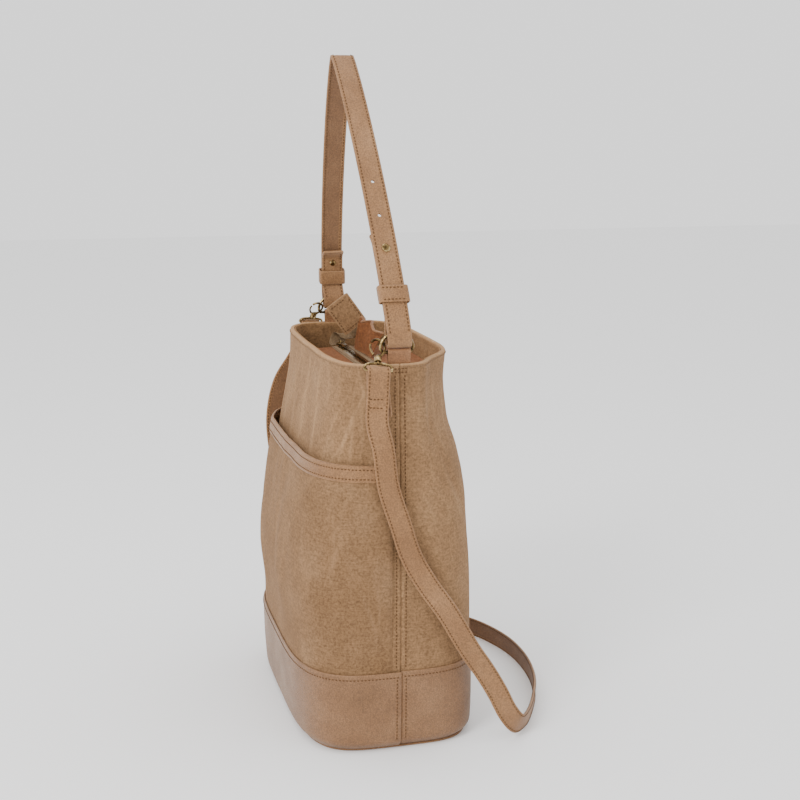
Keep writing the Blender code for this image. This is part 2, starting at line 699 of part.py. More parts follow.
table = np.array([(x, y, z, *w) for x, y, z, w in route], float)
table = thin(spline(table, 0.9), 14.0)
pts = table[:, :3]
verts, faces = ribbon_data(pts, list(table[:, 3:]), BODY_STRAP_W, BODY_STRAP_T)
make("crossbody_strap", verts, faces, LEATHER, 0.6)

# ---- zipped mouth ----------------------------------------------------------------------
ZIP_X0 = -84.0
ZIP_X1 = 96.0
SLIT = 0.9             # half width of the gap between the rows of teeth


def mouth_y(x, side):
    """Inner face of the facing at the zip level."""
    best = None
    for t in np.linspace(0.02, math.pi - 0.02, 400):
        p = layer(ZIP_Z, t if side > 0 else 2 * math.pi - t, -8.1)
        if best is None or abs(p[0] - x) < best[0]:
            best = (abs(p[0] - x), p[1])
    if side > 0 and x > 78.0:
        return min(best[1], 50.5 - 1.4 * (x - 78.0))   # corner cut so the panel can turn
    return best[1]


HINGE_Y = {"front": -46.0, "back": 49.0}
for label, side in (("front", -1), ("back", 1)):
    xs = np.linspace(ZIP_X0, ZIP_X1, 19)
    inner = ZIP_Y + side * (SLIT + 4.6)
    shape = [(x, inner) for x in xs] + [(x, mouth_y(x, side)) for x in xs[::-1]]
    if side < 0:
        shape = shape[::-1]
    prism("zip_flap_" + label, shape, ZIP_Z - 0.8, ZIP_Z + 0.8, RUST, 0.95,
          pivot=(0.0, HINGE_Y[label], ZIP_Z))
    # one row of teeth on a narrow strip
    tips, x = [], ZIP_X0 + 1.0
    near, mid, far = SLIT + 0.2, SLIT + 2.2, SLIT + 4.3
    while x < ZIP_X1 - 4.0:
        tips += [(x, mid), (x, near), (x + 2.0, near), (x + 2.0, mid)]
        x = x + 4.0
    shape = [(ZIP_X0 + 1.0, far)] + tips + [(ZIP_X1 - 1.0, mid), (ZIP_X1 - 1.0, far)]
    shape = [(x, ZIP_Y + side * y) for x, y in shape]
    if side > 0:
        shape = shape[::-1]
    prism("zip_teeth_" + label, shape, ZIP_Z - 1.0, ZIP_Z + 1.0, BRASS, 0.4, 1.0,
          pivot=(0.0, HINGE_Y[label], ZIP_Z))

# slider: two plates joined by a thin web that runs in the slit
SLIDER_X = -92.5
i_shape = [(-4.4, 1.5), (-0.5, 1.5), (-0.5, -1.5), (-4.4, -1.5), (-4.4, -2.6), (4.4, -2.6),
           (4.4, -1.5), (0.5, -1.5), (0.5, 1.5), (4.4, 1.5), (4.4, 2.6), (-4.4, 2.6)]
rows = []
for dx, s in ((-5.5, 0.72), (-3.5, 0.95), (0.0, 1.0), (3.5, 0.9), (5.5, 0.7)):
    rows.append([(SLIDER_X + dx, ZIP_Y + y * (s if abs(y) > 1 else 1), ZIP_Z + z)
                 for y, z in i_shape])
count = len(i_shape)
verts = [p for row in rows for p in row]
faces = [(i * count + j, i * count + (j + 1) % count, (i + 1) * count + (j + 1) % count,
          (i + 1) * count + j) for i in range(len(rows) - 1) for j in range(count)]
faces += [tuple(range(count)), tuple((len(rows) - 1) * count + j for j in range(count))]
slider = make("zip_slider", verts, faces, BRASS, 0.35, 1.0, 40.0,
              pivot=(SLIDER_X, ZIP_Y, ZIP_Z))
arch = [(SLIDER_X + x, ZIP_Y, ZIP_Z + z)
        for x, z in ((-3.2, 2.0), (-3.0, 4.4), (-1.6, 5.9), (1.6, 5.9), (3.0, 4.4), (3.2, 2.0))]
arch = spline(arch, 1.0)
verts, faces = tube_data(arch, [0.75] * len(arch), 10, up=(0, 1, 0))
combine(slider, make("arch", verts, faces, BRASS), "UNION")

PULL = np.array((SLIDER_X, ZIP_Y, ZIP_Z + 4.1))
loop = [(0.0, y) for y in (-2.2, 0.0, 2.2)] + [(1.2, 3.1), (5.0, 3.1), (8.0, 2.6)]
loop += [(9.2, 0.0), (8.0, -2.6), (5.0, -3.1), (1.2, -3.1)]
pts = spline([(PULL[0] + x, PULL[1] + y, PULL[2]) for x, y in loop], 0.9, closed=True)
verts, faces = tube_data(pts, [0.65] * len(pts), 8, closed=True)
puller = make("zip_puller", verts, faces, BRASS, 0.35, 1.0, 40.0, pivot=tuple(PULL))
blade = [(8.7, -2.2), (13.0, -3.0), (24.0, -2.6), (25.5, 0.0), (24.0, 2.6), (13.0, 3.0),
         (8.7, 2.2)]
blade = [(PULL[0] + x, PULL[1] + y) for x, y in blade]
combine(puller, prism("blade", blade, PULL[2] - 0.55, PULL[2] + 0.55, BRASS), "UNION")

# tail of the zip tape, curling up into the end tab
ALONG = np.array((0.0, -0.58, 0.81))
ACROSS = np.array((0.0, 0.81, 0.58))
TAB_C = np.array((-62.0, -4.0, 394.5))
foot = TAB_C - ALONG * 18.9
knee = TAB_C - ALONG * 25.0
tail = [(-99.5, -4.0, 356.0, 0, 1, 0), (-108.0, -4.0, 357.0, 0, 1, 0),
        (-114.0, -1.0, 361.5, 0, 1, 0.1), (-111.0, 4.0, 367.0, 0, 0.8, 0.4),
        (-100.0, 8.5, 369.0, 0, 0.62, 0.78), (-86.0, 11.0, 371.0, 0, 0.66, 0.75),
        (-73.0, 11.6, 372.5, 0, 0.75, 0.66),
        (knee[0] - 0.6, knee[1], knee[2], 0, 0.81, 0.58), (foot[0], foot[1], foot[2], 0, 0.81, 0.58)]
table = thin(spline(np.array(tail, float), 1.0), 8.0)
verts, faces = ribbon_data(table[:, :3], list(table[:, 3:]), 17.0, 1.2)
make("zip_tail", verts, faces, CANVAS, 0.9)
corner, shape = 2.5, []
for sa, sb, a0 in ((1, 1, 0), (-1, 1, 90), (-1, -1, 180), (1, -1, 270)):
    for a in (0, 45, 90):
        ang = math.radians(a0 + a)
        shape.append((sa * (18.0 - corner) + corner * math.cos(ang),
                      sb * (14.0 - corner) + corner * math.sin(ang)))
rows = []
for dx, s in ((-1.5, 0.97), (-1.1, 1.0), (1.1, 1.0), (1.5, 0.97)):
    rows.append([tuple(TAB_C + ALONG * a * s + ACROSS * b * s + np.array((dx, 0, 0)))
                 for a, b in shape])
count = len(shape)
verts = [p for row in rows for p in row]
faces = [(i * count + j, i * count + (j + 1) % count, (i + 1) * count + (j + 1) % count,
          (i + 1) * count + j) for i in range(len(rows) - 1) for j in range(count)]
faces += [tuple(range(count)), tuple((len(rows) - 1) * count + j for j in range(count))]
make("zip_end_tab", verts, faces, CANVAS, 0.9)
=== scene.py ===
"""Looks of the bucket bag: canvas body, leather base, straps, antique brass.

Lengths are millimetres until they reach a mesh.  +Z is up, the pocket faces
-Y and the strap ends are on +X (right) and -X (left).
"""
import math

import bmesh
import bpy
import numpy as np
from mathutils import Matrix, Vector


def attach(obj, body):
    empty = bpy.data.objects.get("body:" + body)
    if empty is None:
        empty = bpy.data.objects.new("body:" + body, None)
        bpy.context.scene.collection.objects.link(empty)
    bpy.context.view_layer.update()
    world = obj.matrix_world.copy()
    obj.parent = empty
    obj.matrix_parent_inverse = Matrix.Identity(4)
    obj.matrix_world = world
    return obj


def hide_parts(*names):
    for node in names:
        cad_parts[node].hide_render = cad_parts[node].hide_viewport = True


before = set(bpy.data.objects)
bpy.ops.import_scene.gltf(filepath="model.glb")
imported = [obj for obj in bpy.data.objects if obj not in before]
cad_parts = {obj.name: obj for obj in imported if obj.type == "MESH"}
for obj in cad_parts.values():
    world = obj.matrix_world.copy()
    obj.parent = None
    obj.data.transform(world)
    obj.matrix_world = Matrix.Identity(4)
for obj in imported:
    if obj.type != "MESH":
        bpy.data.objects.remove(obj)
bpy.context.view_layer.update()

MM = 0.001
RIM_Z = 376.0
BASE_Z = 80.0
BAND_LO = 268.0
BAND_HI = 281.5
SEAM = 0.003        # half the gap between the panels at a side seam, radians

# ---- outline of the body --------------------------------------------------------
# height, half width, front depth, back depth, corner powers, pinch by the seam
SECTIONS = np.array([
    (0, 143, 84, 82, 4.2, 5.0, 4.2, 5.0, 0),
    (12, 147, 88, 86, 4.2, 5.0, 4.2, 5.0, 0),
    (80, 149, 91, 88, 3.8, 4.6, 3.8, 4.6, 0),
    (160, 150, 91, 90, 3.4, 4.2, 3.4, 4.2, 0),
    (230, 149, 85, 88, 3.2, 4.0, 3.1, 4.0, 1),
    (280, 147, 76, 79, 3.2, 4.0, 3.0, 4.0, 4),
    (315, 146, 69, 69, 3.4, 4.0, 2.9, 4.0, 8),
    (345, 145, 63, 67, 3.6, 4.0, 2.8, 4.0, 11),
    (376, 145, 60, 70, 3.8, 4.2, 2.8, 4.2, 13),
], float)


def section(z):
    """Outline parameters at one height, monotone cubic between the rows."""
    zs = SECTIONS[:, 0]
    z = min(max(z, zs[0]), zs[-1])
    i = int(np.searchsorted(zs, z, "right")) - 1
    i = min(max(i, 0), len(zs) - 2)

    def slope(k):
        last = len(zs) - 1
        if k == 0:
            return (SECTIONS[1] - SECTIONS[0]) / (zs[1] - zs[0])
        if k == last:
            return (SECTIONS[last] - SECTIONS[last - 1]) / (zs[last] - zs[last - 1])
        a = (SECTIONS[k] - SECTIONS[k - 1]) / (zs[k] - zs[k - 1])
        b = (SECTIONS[k + 1] - SECTIONS[k]) / (zs[k + 1] - zs[k])
        both = np.where(np.abs(a + b) < 1e-9, 1.0, a + b)
        return np.where(a * b > 0, 2 * a * b / both, 0.0)

    h = zs[i + 1] - zs[i]
    t = (z - zs[i]) / h
    row = (2 * t ** 3 - 3 * t ** 2 + 1) * SECTIONS[i]
    row = row + (t ** 3 - 2 * t ** 2 + t) * h * slope(i)
    row = row + (3 * t ** 2 - 2 * t ** 3) * SECTIONS[i + 1]
    row = row + (t ** 3 - t ** 2) * h * slope(i + 1)
    return row[1:]


def outline(z, tau):
    """Points of the outline at angles tau (0 = right seam, pi = left seam)."""
    half, front, back, nf, ff, nb, fb, pinch = section(z)
    c = np.cos(tau)
    s = np.sin(tau)
    w = (c + 1) / 2
    w = w * w * (3 - 2 * w)
    n = np.where(s >= 0, fb + (nb - fb) * w, ff + (nf - ff) * w)
    r = (np.abs(c) ** n + np.abs(s) ** n) ** (-1 / n)
    depth = np.where(s >= 0, back, front)
    near = np.exp(-(((tau % (2 * np.pi)) - 0.72) / 0.3) ** 2) * pinch
    return np.stack([half * c * r - near * 0.6, depth * s * r - near * 0.8], -1)


def ease(x, lo, hi):
    t = np.clip((x - lo) / (hi - lo), 0.0, 1.0)
    return t * t * (3 - 2 * t)


# ---- soft folds of the cloth --------------------------------------------------------
def scatter(seed, count, lo, hi):
    """Seeded folds: place, height, lean, width, reach, depth."""
    rng = np.random.RandomState(seed)
    rows = []
    for i in range(count):
        rows.append((rng.uniform(lo, hi), rng.uniform(110, 350), rng.uniform(-0.5, 0.5),
                     rng.uniform(5, 14), rng.uniform(25, 80), rng.uniform(-2.2, 0.9),
                     rng.uniform(0, 6.28)))
    return rows


FOLDS = scatter(11, 30, 0.25, 2.9) + scatter(12, 26, 3.4, 6.1)
# broad folds: the sides sink a little, the mouth buckles between the tabs
FOLDS += [(0.55, 330, 0.1, 14, 60, -2.2, 0.4), (1.15, 320, -0.2, 22, 70, 1.2, 2.0),
          (1.9, 325, 0.2, 26, 70, -1.8, 1.0), (2.5, 240, 0.1, 30, 90, -2.0, 3.0),
          (5.75, 320, -0.15, 12, 55, -1.6, 2.2), (5.45, 335, 0.3, 12, 40, 1.0, 0.3),
          (4.9, 330, -0.2, 30, 60, -1.8, 1.1), (4.1, 325, 0.1, 24, 70, -1.5, 5.0),
          (4.7, 262, 0.0, 90, 60, -3.0, 0.0), (4.3, 200, 0.0, 40, 60, -1.2, 0.6),
          (1.2, 190, 0.0, 40, 80, -1.6, 3.6)]


def fine_lines(seed, count, lo, hi, low, high):
    """Seeded sharp creases: place, height, lean, width, reach, strength, phase."""
    rng = np.random.RandomState(seed)
    rows = []
    for i in range(count):
        rows.append((rng.uniform(lo, hi), rng.uniform(low, high), rng.normal(0.0, 0.22),
                     rng.uniform(0.9, 2.8), rng.uniform(14, 46), rng.uniform(0.12, 0.62) ** 1.2,
                     rng.uniform(0, 6.28)))
    return rows


CREASES = (fine_lines(21, 44, 4.0, 6.2, 285, 368) + fine_lines(22, 34, 0.1, 3.0, 250, 365)
           + fine_lines(23, 22, 3.4, 6.1, 120, 262) + fine_lines(24, 20, 0.1, 3.0, 120, 250))


def crease_strength(z, tau):
    """Strength of the sharp creases at a height and angles, about 0 to 1; it lifts the cloth and
    places the painted highlight along the creases.
    """
    tau = np.asarray(tau, float) % (2 * np.pi)
    total = np.zeros(len(tau))
    for place, height, lean_, width, reach, depth, phase in CREASES:
        dz = z - height
        if abs(dz) > 2.0 * reach:
            continue
        centre = place + (lean_ * dz + 3 * math.sin(dz / 15 + phase)) / 120.0
        d = (tau - centre + np.pi) % (2 * np.pi) - np.pi
        x = d * 120.0 / width
        total = total + depth * np.exp(-x * x) * math.exp(-(dz / reach) ** 2)
    p = outline(z, tau)
    return np.minimum(total, 1.3) * ease(z, BASE_Z, BASE_Z + 14) * ease(np.abs(p[:, 1]), 8.0, 16.0)


def wave(a, b, seed):
    """Gentle two-way ripple, one unit high."""
    rng = np.random.RandomState(seed)
    out = 0.0
    for k in range(7):
        f, g, p, q = rng.uniform(0.6, 1.8), rng.uniform(0.4, 1.5), *rng.uniform(0, 6.28, 2)
        out = out + np.sin(a * f + p + 0.8 * np.sin(b * g + q)) * np.cos(b * g * 0.7 + q)
    return out / 7


def sag(z, tau):
    """How far the cloth stands out of its cut shape, for a height and angles."""
    tau = np.asarray(tau, float) % (2 * np.pi)
    calm = ease(z, BASE_Z + 4, BASE_Z + 60)
    top = 1 - ease(z, RIM_Z - 60, RIM_Z) * 0.55
    p = outline(z, tau)
    clear = ease(np.abs(p[:, 1]), 13.0, 34.0)      # the seams and tabs stay put
    total = np.zeros(len(tau))
    for place, height, lean_, width, reach, depth, phase in FOLDS:
        dz = z - height
        if abs(dz) > 2.2 * reach:
            continue
        centre = place + (lean_ * dz + 4 * math.sin(dz / 24 + phase)) / 150.0
        d = (tau - centre + np.pi) % (2 * np.pi) - np.pi
        x = d * 120.0 / width
        total = total + depth * np.exp(-x * x) * math.exp(-(dz / reach) ** 2)
    ripple = wave(tau * 9.0, z / 42.0, 5) * 1.3 + wave(tau * 26.0, z / 60.0, 6) * 0.55
    total = total + ripple
    return total * calm * top * clear + 0.45 * crease_strength(z, tau)


def ring(z, taus, off, soft=1.0):
    """One row of points at distance off outside the outline, folds included."""
    taus = np.asarray(taus, float)
    a = outline(z, taus - 1e-3)
    b = outline(z, taus + 1e-3)
    t = (b - a) / np.linalg.norm(b - a, axis=1)[:, None]
    reach = np.asarray(off, float) + sag(z, taus) * soft
    n = np.stack([t[:, 1], -t[:, 0]], -1)
    p = outline(z, taus) + n * np.broadcast_to(reach, (len(taus),))[:, None]
    return np.column_stack([p, np.full(len(taus), float(z))])


def girth(taus, z=200.0):
    """Distance along the outline at each angle, for the cloth's thread lines."""
    fine = np.linspace(0, 2 * np.pi, 1441)
    p = outline(z, fine)
    s = np.concatenate([[0], np.cumsum(np.linalg.norm(np.diff(p, axis=0), axis=1))])
    return np.interp(taus, fine, s)


# ---- mesh helpers ------------------------------------------------------------------------
def put(name, verts, faces, mat, body, stands_for=(), uv=None, angle=50.0):
    """One finished mesh that rides on a body; verts in millimetres."""
    mesh = bpy.data.meshes.new(name)
    mesh.from_pydata((np.asarray(verts, float) * MM).tolist(), [], faces)
    mesh.update()
    if uv is not None:
        layer = mesh.uv_layers.new(name="threads")
        loops = np.zeros(len(mesh.loops), np.int32)
        mesh.loops.foreach_get("vertex_index", loops)
        layer.data.foreach_set("uv", (np.asarray(uv, float)[loops] * MM).ravel())
    bm = bmesh.new()
    bm.from_mesh(mesh)
    bmesh.ops.recalc_face_normals(bm, faces=bm.faces)
    bm.to_mesh(mesh)
    bm.free()
    obj = bpy.data.objects.new(name, mesh)
    bpy.context.scene.collection.objects.link(obj)
    mesh.materials.append(mat)
    mesh.shade_smooth()
    mesh.set_sharp_from_angle(angle=math.radians(angle))
    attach(obj, body)
    if stands_for:
        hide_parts(*stands_for)
    return obj


def closed_grid(loops, wrap):
    """Faces of a band of equal closed section loops; wrap joins last to first."""
    n = len(loops[0])
    faces = []
    rows = len(loops)
    for i in range(rows if wrap else rows - 1):
        j = (i + 1) % rows
        for k in range(n):
            m = (k + 1) % n
            faces.append((i * n + k, i * n + m, j * n + m, j * n + k))
    if not wrap:
        faces.append(tuple(range(n - 1, -1, -1)))
        faces.append(tuple((rows - 1) * n + k for k in range(n)))
    return faces


def cloth_wall(name, taus, profile, mat, body, stands_for, soft=1.0):
    """Panel along the outline.  profile gives a closed loop of (z, off) rows, off
    a number or one value for each angle."""
    rows = [ring(z, taus, off, soft) for z, off in profile]
    grid = np.stack(rows, 1)                       # angle, profile, xyz
    s = girth(taus)
    uv = np.stack([np.repeat(s[:, None], len(rows), 1), grid[:, :, 2]], -1)
    faces = closed_grid(grid, False)
    obj = put(name, grid.reshape(-1, 3), faces, mat, body, stands_for,
              uv.reshape(-1, 2))
    # painted highlight: the cloth is coloured paler along the sharp creases and on the rolled top 2
    # mm of the rim
    painted_highlight = np.stack([crease_strength(z, taus) for z, off in profile], 1)
    rim = np.array([ease(z, RIM_Z - 2.2, RIM_Z - 0.6) * 0.9 for z, off in profile])
    data = obj.data.attributes.new("painted_highlight", "FLOAT", "POINT")
    data.data.foreach_set("value", np.minimum(painted_highlight + rim, 1.0).astype(np.float32).ravel())
    return obj


def spline(points, step, closed=False):
    """Evenly spaced points on a Catmull-Rom curve through the given points."""
    p = np.array(points, float)
    n = len(p)
    out = []
    spans = n if closed else n - 1
    for i in range(spans):
        if closed:
            p0, p1, p2, p3 = p[i - 1], p[i], p[(i + 1) % n], p[(i + 2) % n]
        else:
            p1, p2 = p[i], p[i + 1]
            p0 = p[i - 1] if i > 0 else 2 * p1 - p2
            p3 = p[i + 2] if i + 2 < n else 2 * p2 - p1
        d = [max(np.linalg.norm(b[:3] - a[:3]), 1e-6) ** 0.5
             for a, b in ((p0, p1), (p1, p2), (p2, p3))]
        m1 = (p1 - p0) / d[0] * d[1] - (p2 - p0) / (d[0] + d[1]) * d[1] + (p2 - p1)
        m2 = (p2 - p1) - (p3 - p1) / (d[1] + d[2]) * d[1] + (p3 - p2) / d[2] * d[1]
        for t in np.linspace(0, 1, 24, endpoint=False):
            a = 2 * t ** 3 - 3 * t ** 2 + 1
            b = t ** 3 - 2 * t ** 2 + t
            c = 3 * t ** 2 - 2 * t ** 3
            e = t ** 3 - t ** 2
            out.append(a * p1 + b * m1 + c * p2 + e * m2)
    out.append(p[-1] if not closed else out[0])
    out = np.array(out)
    seg = np.linalg.norm(np.diff(out[:, :3], axis=0), axis=1)
    s = np.concatenate([[0], np.cumsum(seg)])
    count = max(int(round(s[-1] / step)), 4)
    at = np.linspace(0, s[-1], count + 1)
    if closed:
        at = at[:-1]
    return np.array([[np.interp(a, s, out[:, k]) for k in range(out.shape[1])] for a in at])


def tangents(pts):
    t = np.gradient(pts, axis=0)
    return t / np.linalg.norm(t, axis=1)[:, None]


def frames(pts, wide):
    """Tangent, width direction and outward direction along a strap."""
    t = tangents(pts)
    w = wide - t * np.sum(wide * t, axis=1)[:, None]
    w = w / np.linalg.norm(w, axis=1)[:, None]
    return t, w, np.cross(w, t)


def strap_mesh(name, pts, wide, width, thick, mat, body, stands_for=(), back=None):
    """Flat strap with rolled edges and a slightly raised middle; back is its flesh side."""
    t, w, n = frames(pts, wide)
    s = np.concatenate([[0], np.cumsum(np.linalg.norm(np.diff(pts, axis=0), axis=1))])
    half, r = width / 2, thick / 2
    shape = []
    for sy, a0 in ((1, -90), (-1, 90)):
        for a in (0, 30, 60, 90, 120, 150, 180):
            ang = math.radians(a0 + a)
            shape.append((sy * (half - r) + r * math.cos(ang), r * math.sin(ang)))
        for x in (0.72, 0.5, 0.25, 0.0, -0.25, -0.5, -0.72):
            lift = -0.12 if abs(x) > 0.6 else 0.0
            shape.append((sy * x * (half - r), (r + lift) * (1 if sy > 0 else -1)))
    shape = np.array(shape)
    scale = np.ones(len(pts))
    scale[0] = scale[-1] = 0.93
    grid = (pts[:, None, :] + w[:, None, :] * shape[None, :, 0:1] * scale[:, None, None]
            + n[:, None, :] * shape[None, :, 1:2] * scale[:, None, None])
    uv = np.stack([np.repeat(s[:, None], len(shape), 1),
                   np.repeat(shape[None, :, 0], len(pts), 0)], -1)
    obj = put(name, grid.reshape(-1, 3), closed_grid(grid, False), mat, body,
              stands_for, uv.reshape(-1, 2), 60.0)
    if back is not None:
        obj.data.materials.append(back)
        around = len(shape)
        for poly in obj.data.polygons[:(len(pts) - 1) * around]:
            if around // 2 + 6 <= poly.index % around < around - 1:
                poly.material_index = 1
    return obj


def stitches(name, line, out, mat, body, length=2.3, gap=1.2, radius=0.52, lift=0.10):
    """A row of sewn stitches along a line, each dipping in at both ends."""
    line = np.asarray(line, float)
    out = np.asarray(out, float)
    seg = np.linalg.norm(np.diff(line, axis=0), axis=1)
    s = np.concatenate([[0], np.cumsum(seg)])
    count = int((s[-1] - gap) / (length + gap))
    verts, faces = [], []
    sides = 6
    for i in range(count):
        start = gap + i * (length + gap)
        base = len(verts)
        for f, sink, grow in ((0.0, -0.3, 0.45), (0.16, 0.02, 0.9), (0.5, 0.14, 1.0),
                              (0.84, 0.02, 0.9), (1.0, -0.3, 0.45)):
            a = start + f * length
            p = np.array([np.interp(a, s, line[:, k]) for k in range(3)])
            q = np.array([np.interp(a + 0.2, s, line[:, k]) for k in range(3)])
            b = np.array([np.interp(a - 0.2, s, line[:, k]) for k in range(3)])
            n = np.array([np.interp(a, s, out[:, k]) for k in range(3)])
            t = (q - b) / max(np.linalg.norm(q - b), 1e-9)
            n = n - t * (n @ t)
            n = n / max(np.linalg.norm(n), 1e-9)
            w = np.cross(t, n)
            c = p + n * (sink * radius * 2 + lift)
            for k in range(sides):
                ang = 2 * math.pi * k / sides
                verts.append(c + radius * grow * (math.cos(ang) * w + math.sin(ang) * n))
        for r in range(4):
            for k in range(sides):
                m = (k + 1) % sides
                a, b = base + r * sides, base + (r + 1) * sides
                faces.append((a + k, a + m, b + m, b + k))
        faces.append(tuple(base + k for k in range(sides - 1, -1, -1)))
        faces.append(tuple(base + 4 * sides + k for k in range(sides)))
    return put(name, verts, faces, mat, body, angle=80.0)


# ---- finishes ----------------------------------------------------------------------------
class Nodes:
    """Short hand for wiring one material."""

    def __init__(self, name, rough, metal=0.0):
        self.mat = bpy.data.materials.new(name)
        self.mat.use_nodes = True
        self.tree = self.mat.node_tree
        self.bsdf = self.tree.nodes["Principled BSDF"]
        self.bsdf.inputs["Roughness"].default_value = rough
        self.bsdf.inputs["Metallic"].default_value = metal

    def add(self, kind, **sets):
        node = self.tree.nodes.new(kind)
        for key, value in sets.items():
            setattr(node, key, value)
        return node

    def link(self, a, b):
        self.tree.links.new(a, b)

    def noise(self, coord, scale, detail=3.0, rough=0.55, stretch=None):
        if stretch is not None:
            m = self.add("ShaderNodeMapping")
            m.inputs["Scale"].default_value = stretch
            self.link(coord, m.inputs["Vector"])
            coord = m.outputs["Vector"]
        n = self.add("ShaderNodeTexNoise")
        n.inputs["Scale"].default_value = scale
        n.inputs["Detail"].default_value = detail
        n.inputs["Roughness"].default_value = rough
        self.link(coord, n.inputs["Vector"])
        return n.outputs["Fac"]

    def ramp(self, fac, stops):
        r = self.add("ShaderNodeValToRGB")
        while len(r.color_ramp.elements) < len(stops):
            r.color_ramp.elements.new(0.5)
        for e, (pos, rgb) in zip(r.color_ramp.elements, stops):
            e.position = pos
            e.color = (*rgb, 1.0)
        self.link(fac, r.inputs["Fac"])
        return r.outputs["Color"]

    def blend(self, kind, fac, a, b):
        m = self.add("ShaderNodeMix", data_type="RGBA", blend_type=kind)
        if isinstance(fac, float):
            m.inputs[0].default_value = fac
        else:
            self.link(fac, m.inputs[0])
        for value, socket in ((a, m.inputs[6]), (b, m.inputs[7])):
            if isinstance(value, tuple):
                socket.default_value = (*value, 1.0)
            else:
                self.link(value, socket)
        return m.outputs[2]

    def math(self, op, a, b=0.0):
        m = self.add("ShaderNodeMath", operation=op)
        for value, socket in ((a, m.inputs[0]), (b, m.inputs[1])):
            if isinstance(value, (int, float)):
                socket.default_value = value
            else:
                self.link(value, socket)
        return m.outputs[0]

    def bump(self, height, strength, distance, normal=None):
        b = self.add("ShaderNodeBump")
        b.inputs["Strength"].default_value = strength
        b.inputs["Distance"].default_value = distance
        self.link(height, b.inputs["Height"])
        if normal is not None:
            self.link(normal, b.inputs["Normal"])
        return b.outputs["Normal"]


def ridges(w, coord, along, pitch):
    """Bands of thread a pitch apart (metres) along u (0) or v (1)."""
    t = w.add("ShaderNodeTexWave", wave_type="BANDS", bands_direction="XY"[along])
    t.inputs["Scale"].default_value = 2 * math.pi / (20 * pitch)
    t.inputs["Distortion"].default_value = 1.4
    t.inputs["Detail"].default_value = 2.0
    t.inputs["Detail Scale"].default_value = 0.35
    w.link(coord, t.inputs["Vector"])
    return t.outputs["Fac"]


def cloth(name, dark, mid, light, pitch=0.0011, weave=0.35, sheen=0.35):
    """Brushed cotton: thread lines, mottling, painted highlight on ridges, creases and the rim's
    top edge.
    """
    w = Nodes(name, 0.92)
    co = w.add("ShaderNodeTexCoord")
    uv = w.add("ShaderNodeUVMap", uv_map="threads").outputs["UV"]
    pos = co.outputs["Object"]
    broad = w.noise(pos, 16.0, 4.0, 0.6)
    speck = w.noise(pos, 420.0, 4.0, 0.75)
    slub = w.noise(uv, 260.0, 2.0, 0.5, (0.35, 2.6, 1.0))
    both = w.math("MULTIPLY", ridges(w, uv, 0, pitch), ridges(w, uv, 1, pitch * 0.9))
    base = w.ramp(broad, [(0.30, dark), (0.52, mid), (0.75, light)])
    fleck = w.ramp(speck, [(0.37, (0.62, 0.60, 0.58)), (0.5, (1, 1, 1)),
                           (0.63, (1.30, 1.29, 1.27))])
    color = w.blend("MULTIPLY", 0.85, base, fleck)
    thread = w.ramp(slub, [(0.38, (0.86, 0.85, 0.84)), (0.6, (1.08, 1.08, 1.07))])
    color = w.blend("MULTIPLY", 0.8, color, thread)
    # painted highlight: paler colour where the surface is convex, on ridges and folds
    point = w.add("ShaderNodeNewGeometry").outputs["Pointiness"]
    ridge_highlight = w.ramp(point, [(0.505, (0, 0, 0)), (0.56, (1, 1, 1))])
    ridge_highlight = w.blend("MULTIPLY", 1.0, ridge_highlight, (0.45, 0.45, 0.45))
    pale = tuple(min(c * 1.35, 1.0) for c in light)
    color = w.blend("MIX", ridge_highlight, color, pale)
    # painted highlight stored on the mesh: sharp creases and the rim's top edge, broken up by the
    # specks
    painted_highlight = w.add("ShaderNodeAttribute", attribute_name="painted_highlight").outputs["Fac"]
    painted_highlight = w.math("MULTIPLY", painted_highlight, w.math("ADD", w.math("MULTIPLY", speck, 0.9), 0.15))
    color = w.blend("MIX", painted_highlight, color, tuple(min(c * 1.6, 1.0) for c in light))
    w.link(color, w.bsdf.inputs["Base Color"])
    normal = w.bump(both, weave, 0.0005)
    normal = w.bump(speck, 0.3, 0.0006, normal)
    w.link(normal, w.bsdf.inputs["Normal"])
    w.bsdf.inputs["Sheen Weight"].default_value = sheen
    w.bsdf.inputs["Sheen Roughness"].default_value = 0.5
    w.bsdf.inputs["Sheen Tint"].default_value = (*light, 1.0)
    w.bsdf.inputs["Specular IOR Level"].default_value = 0.25
    return w.mat


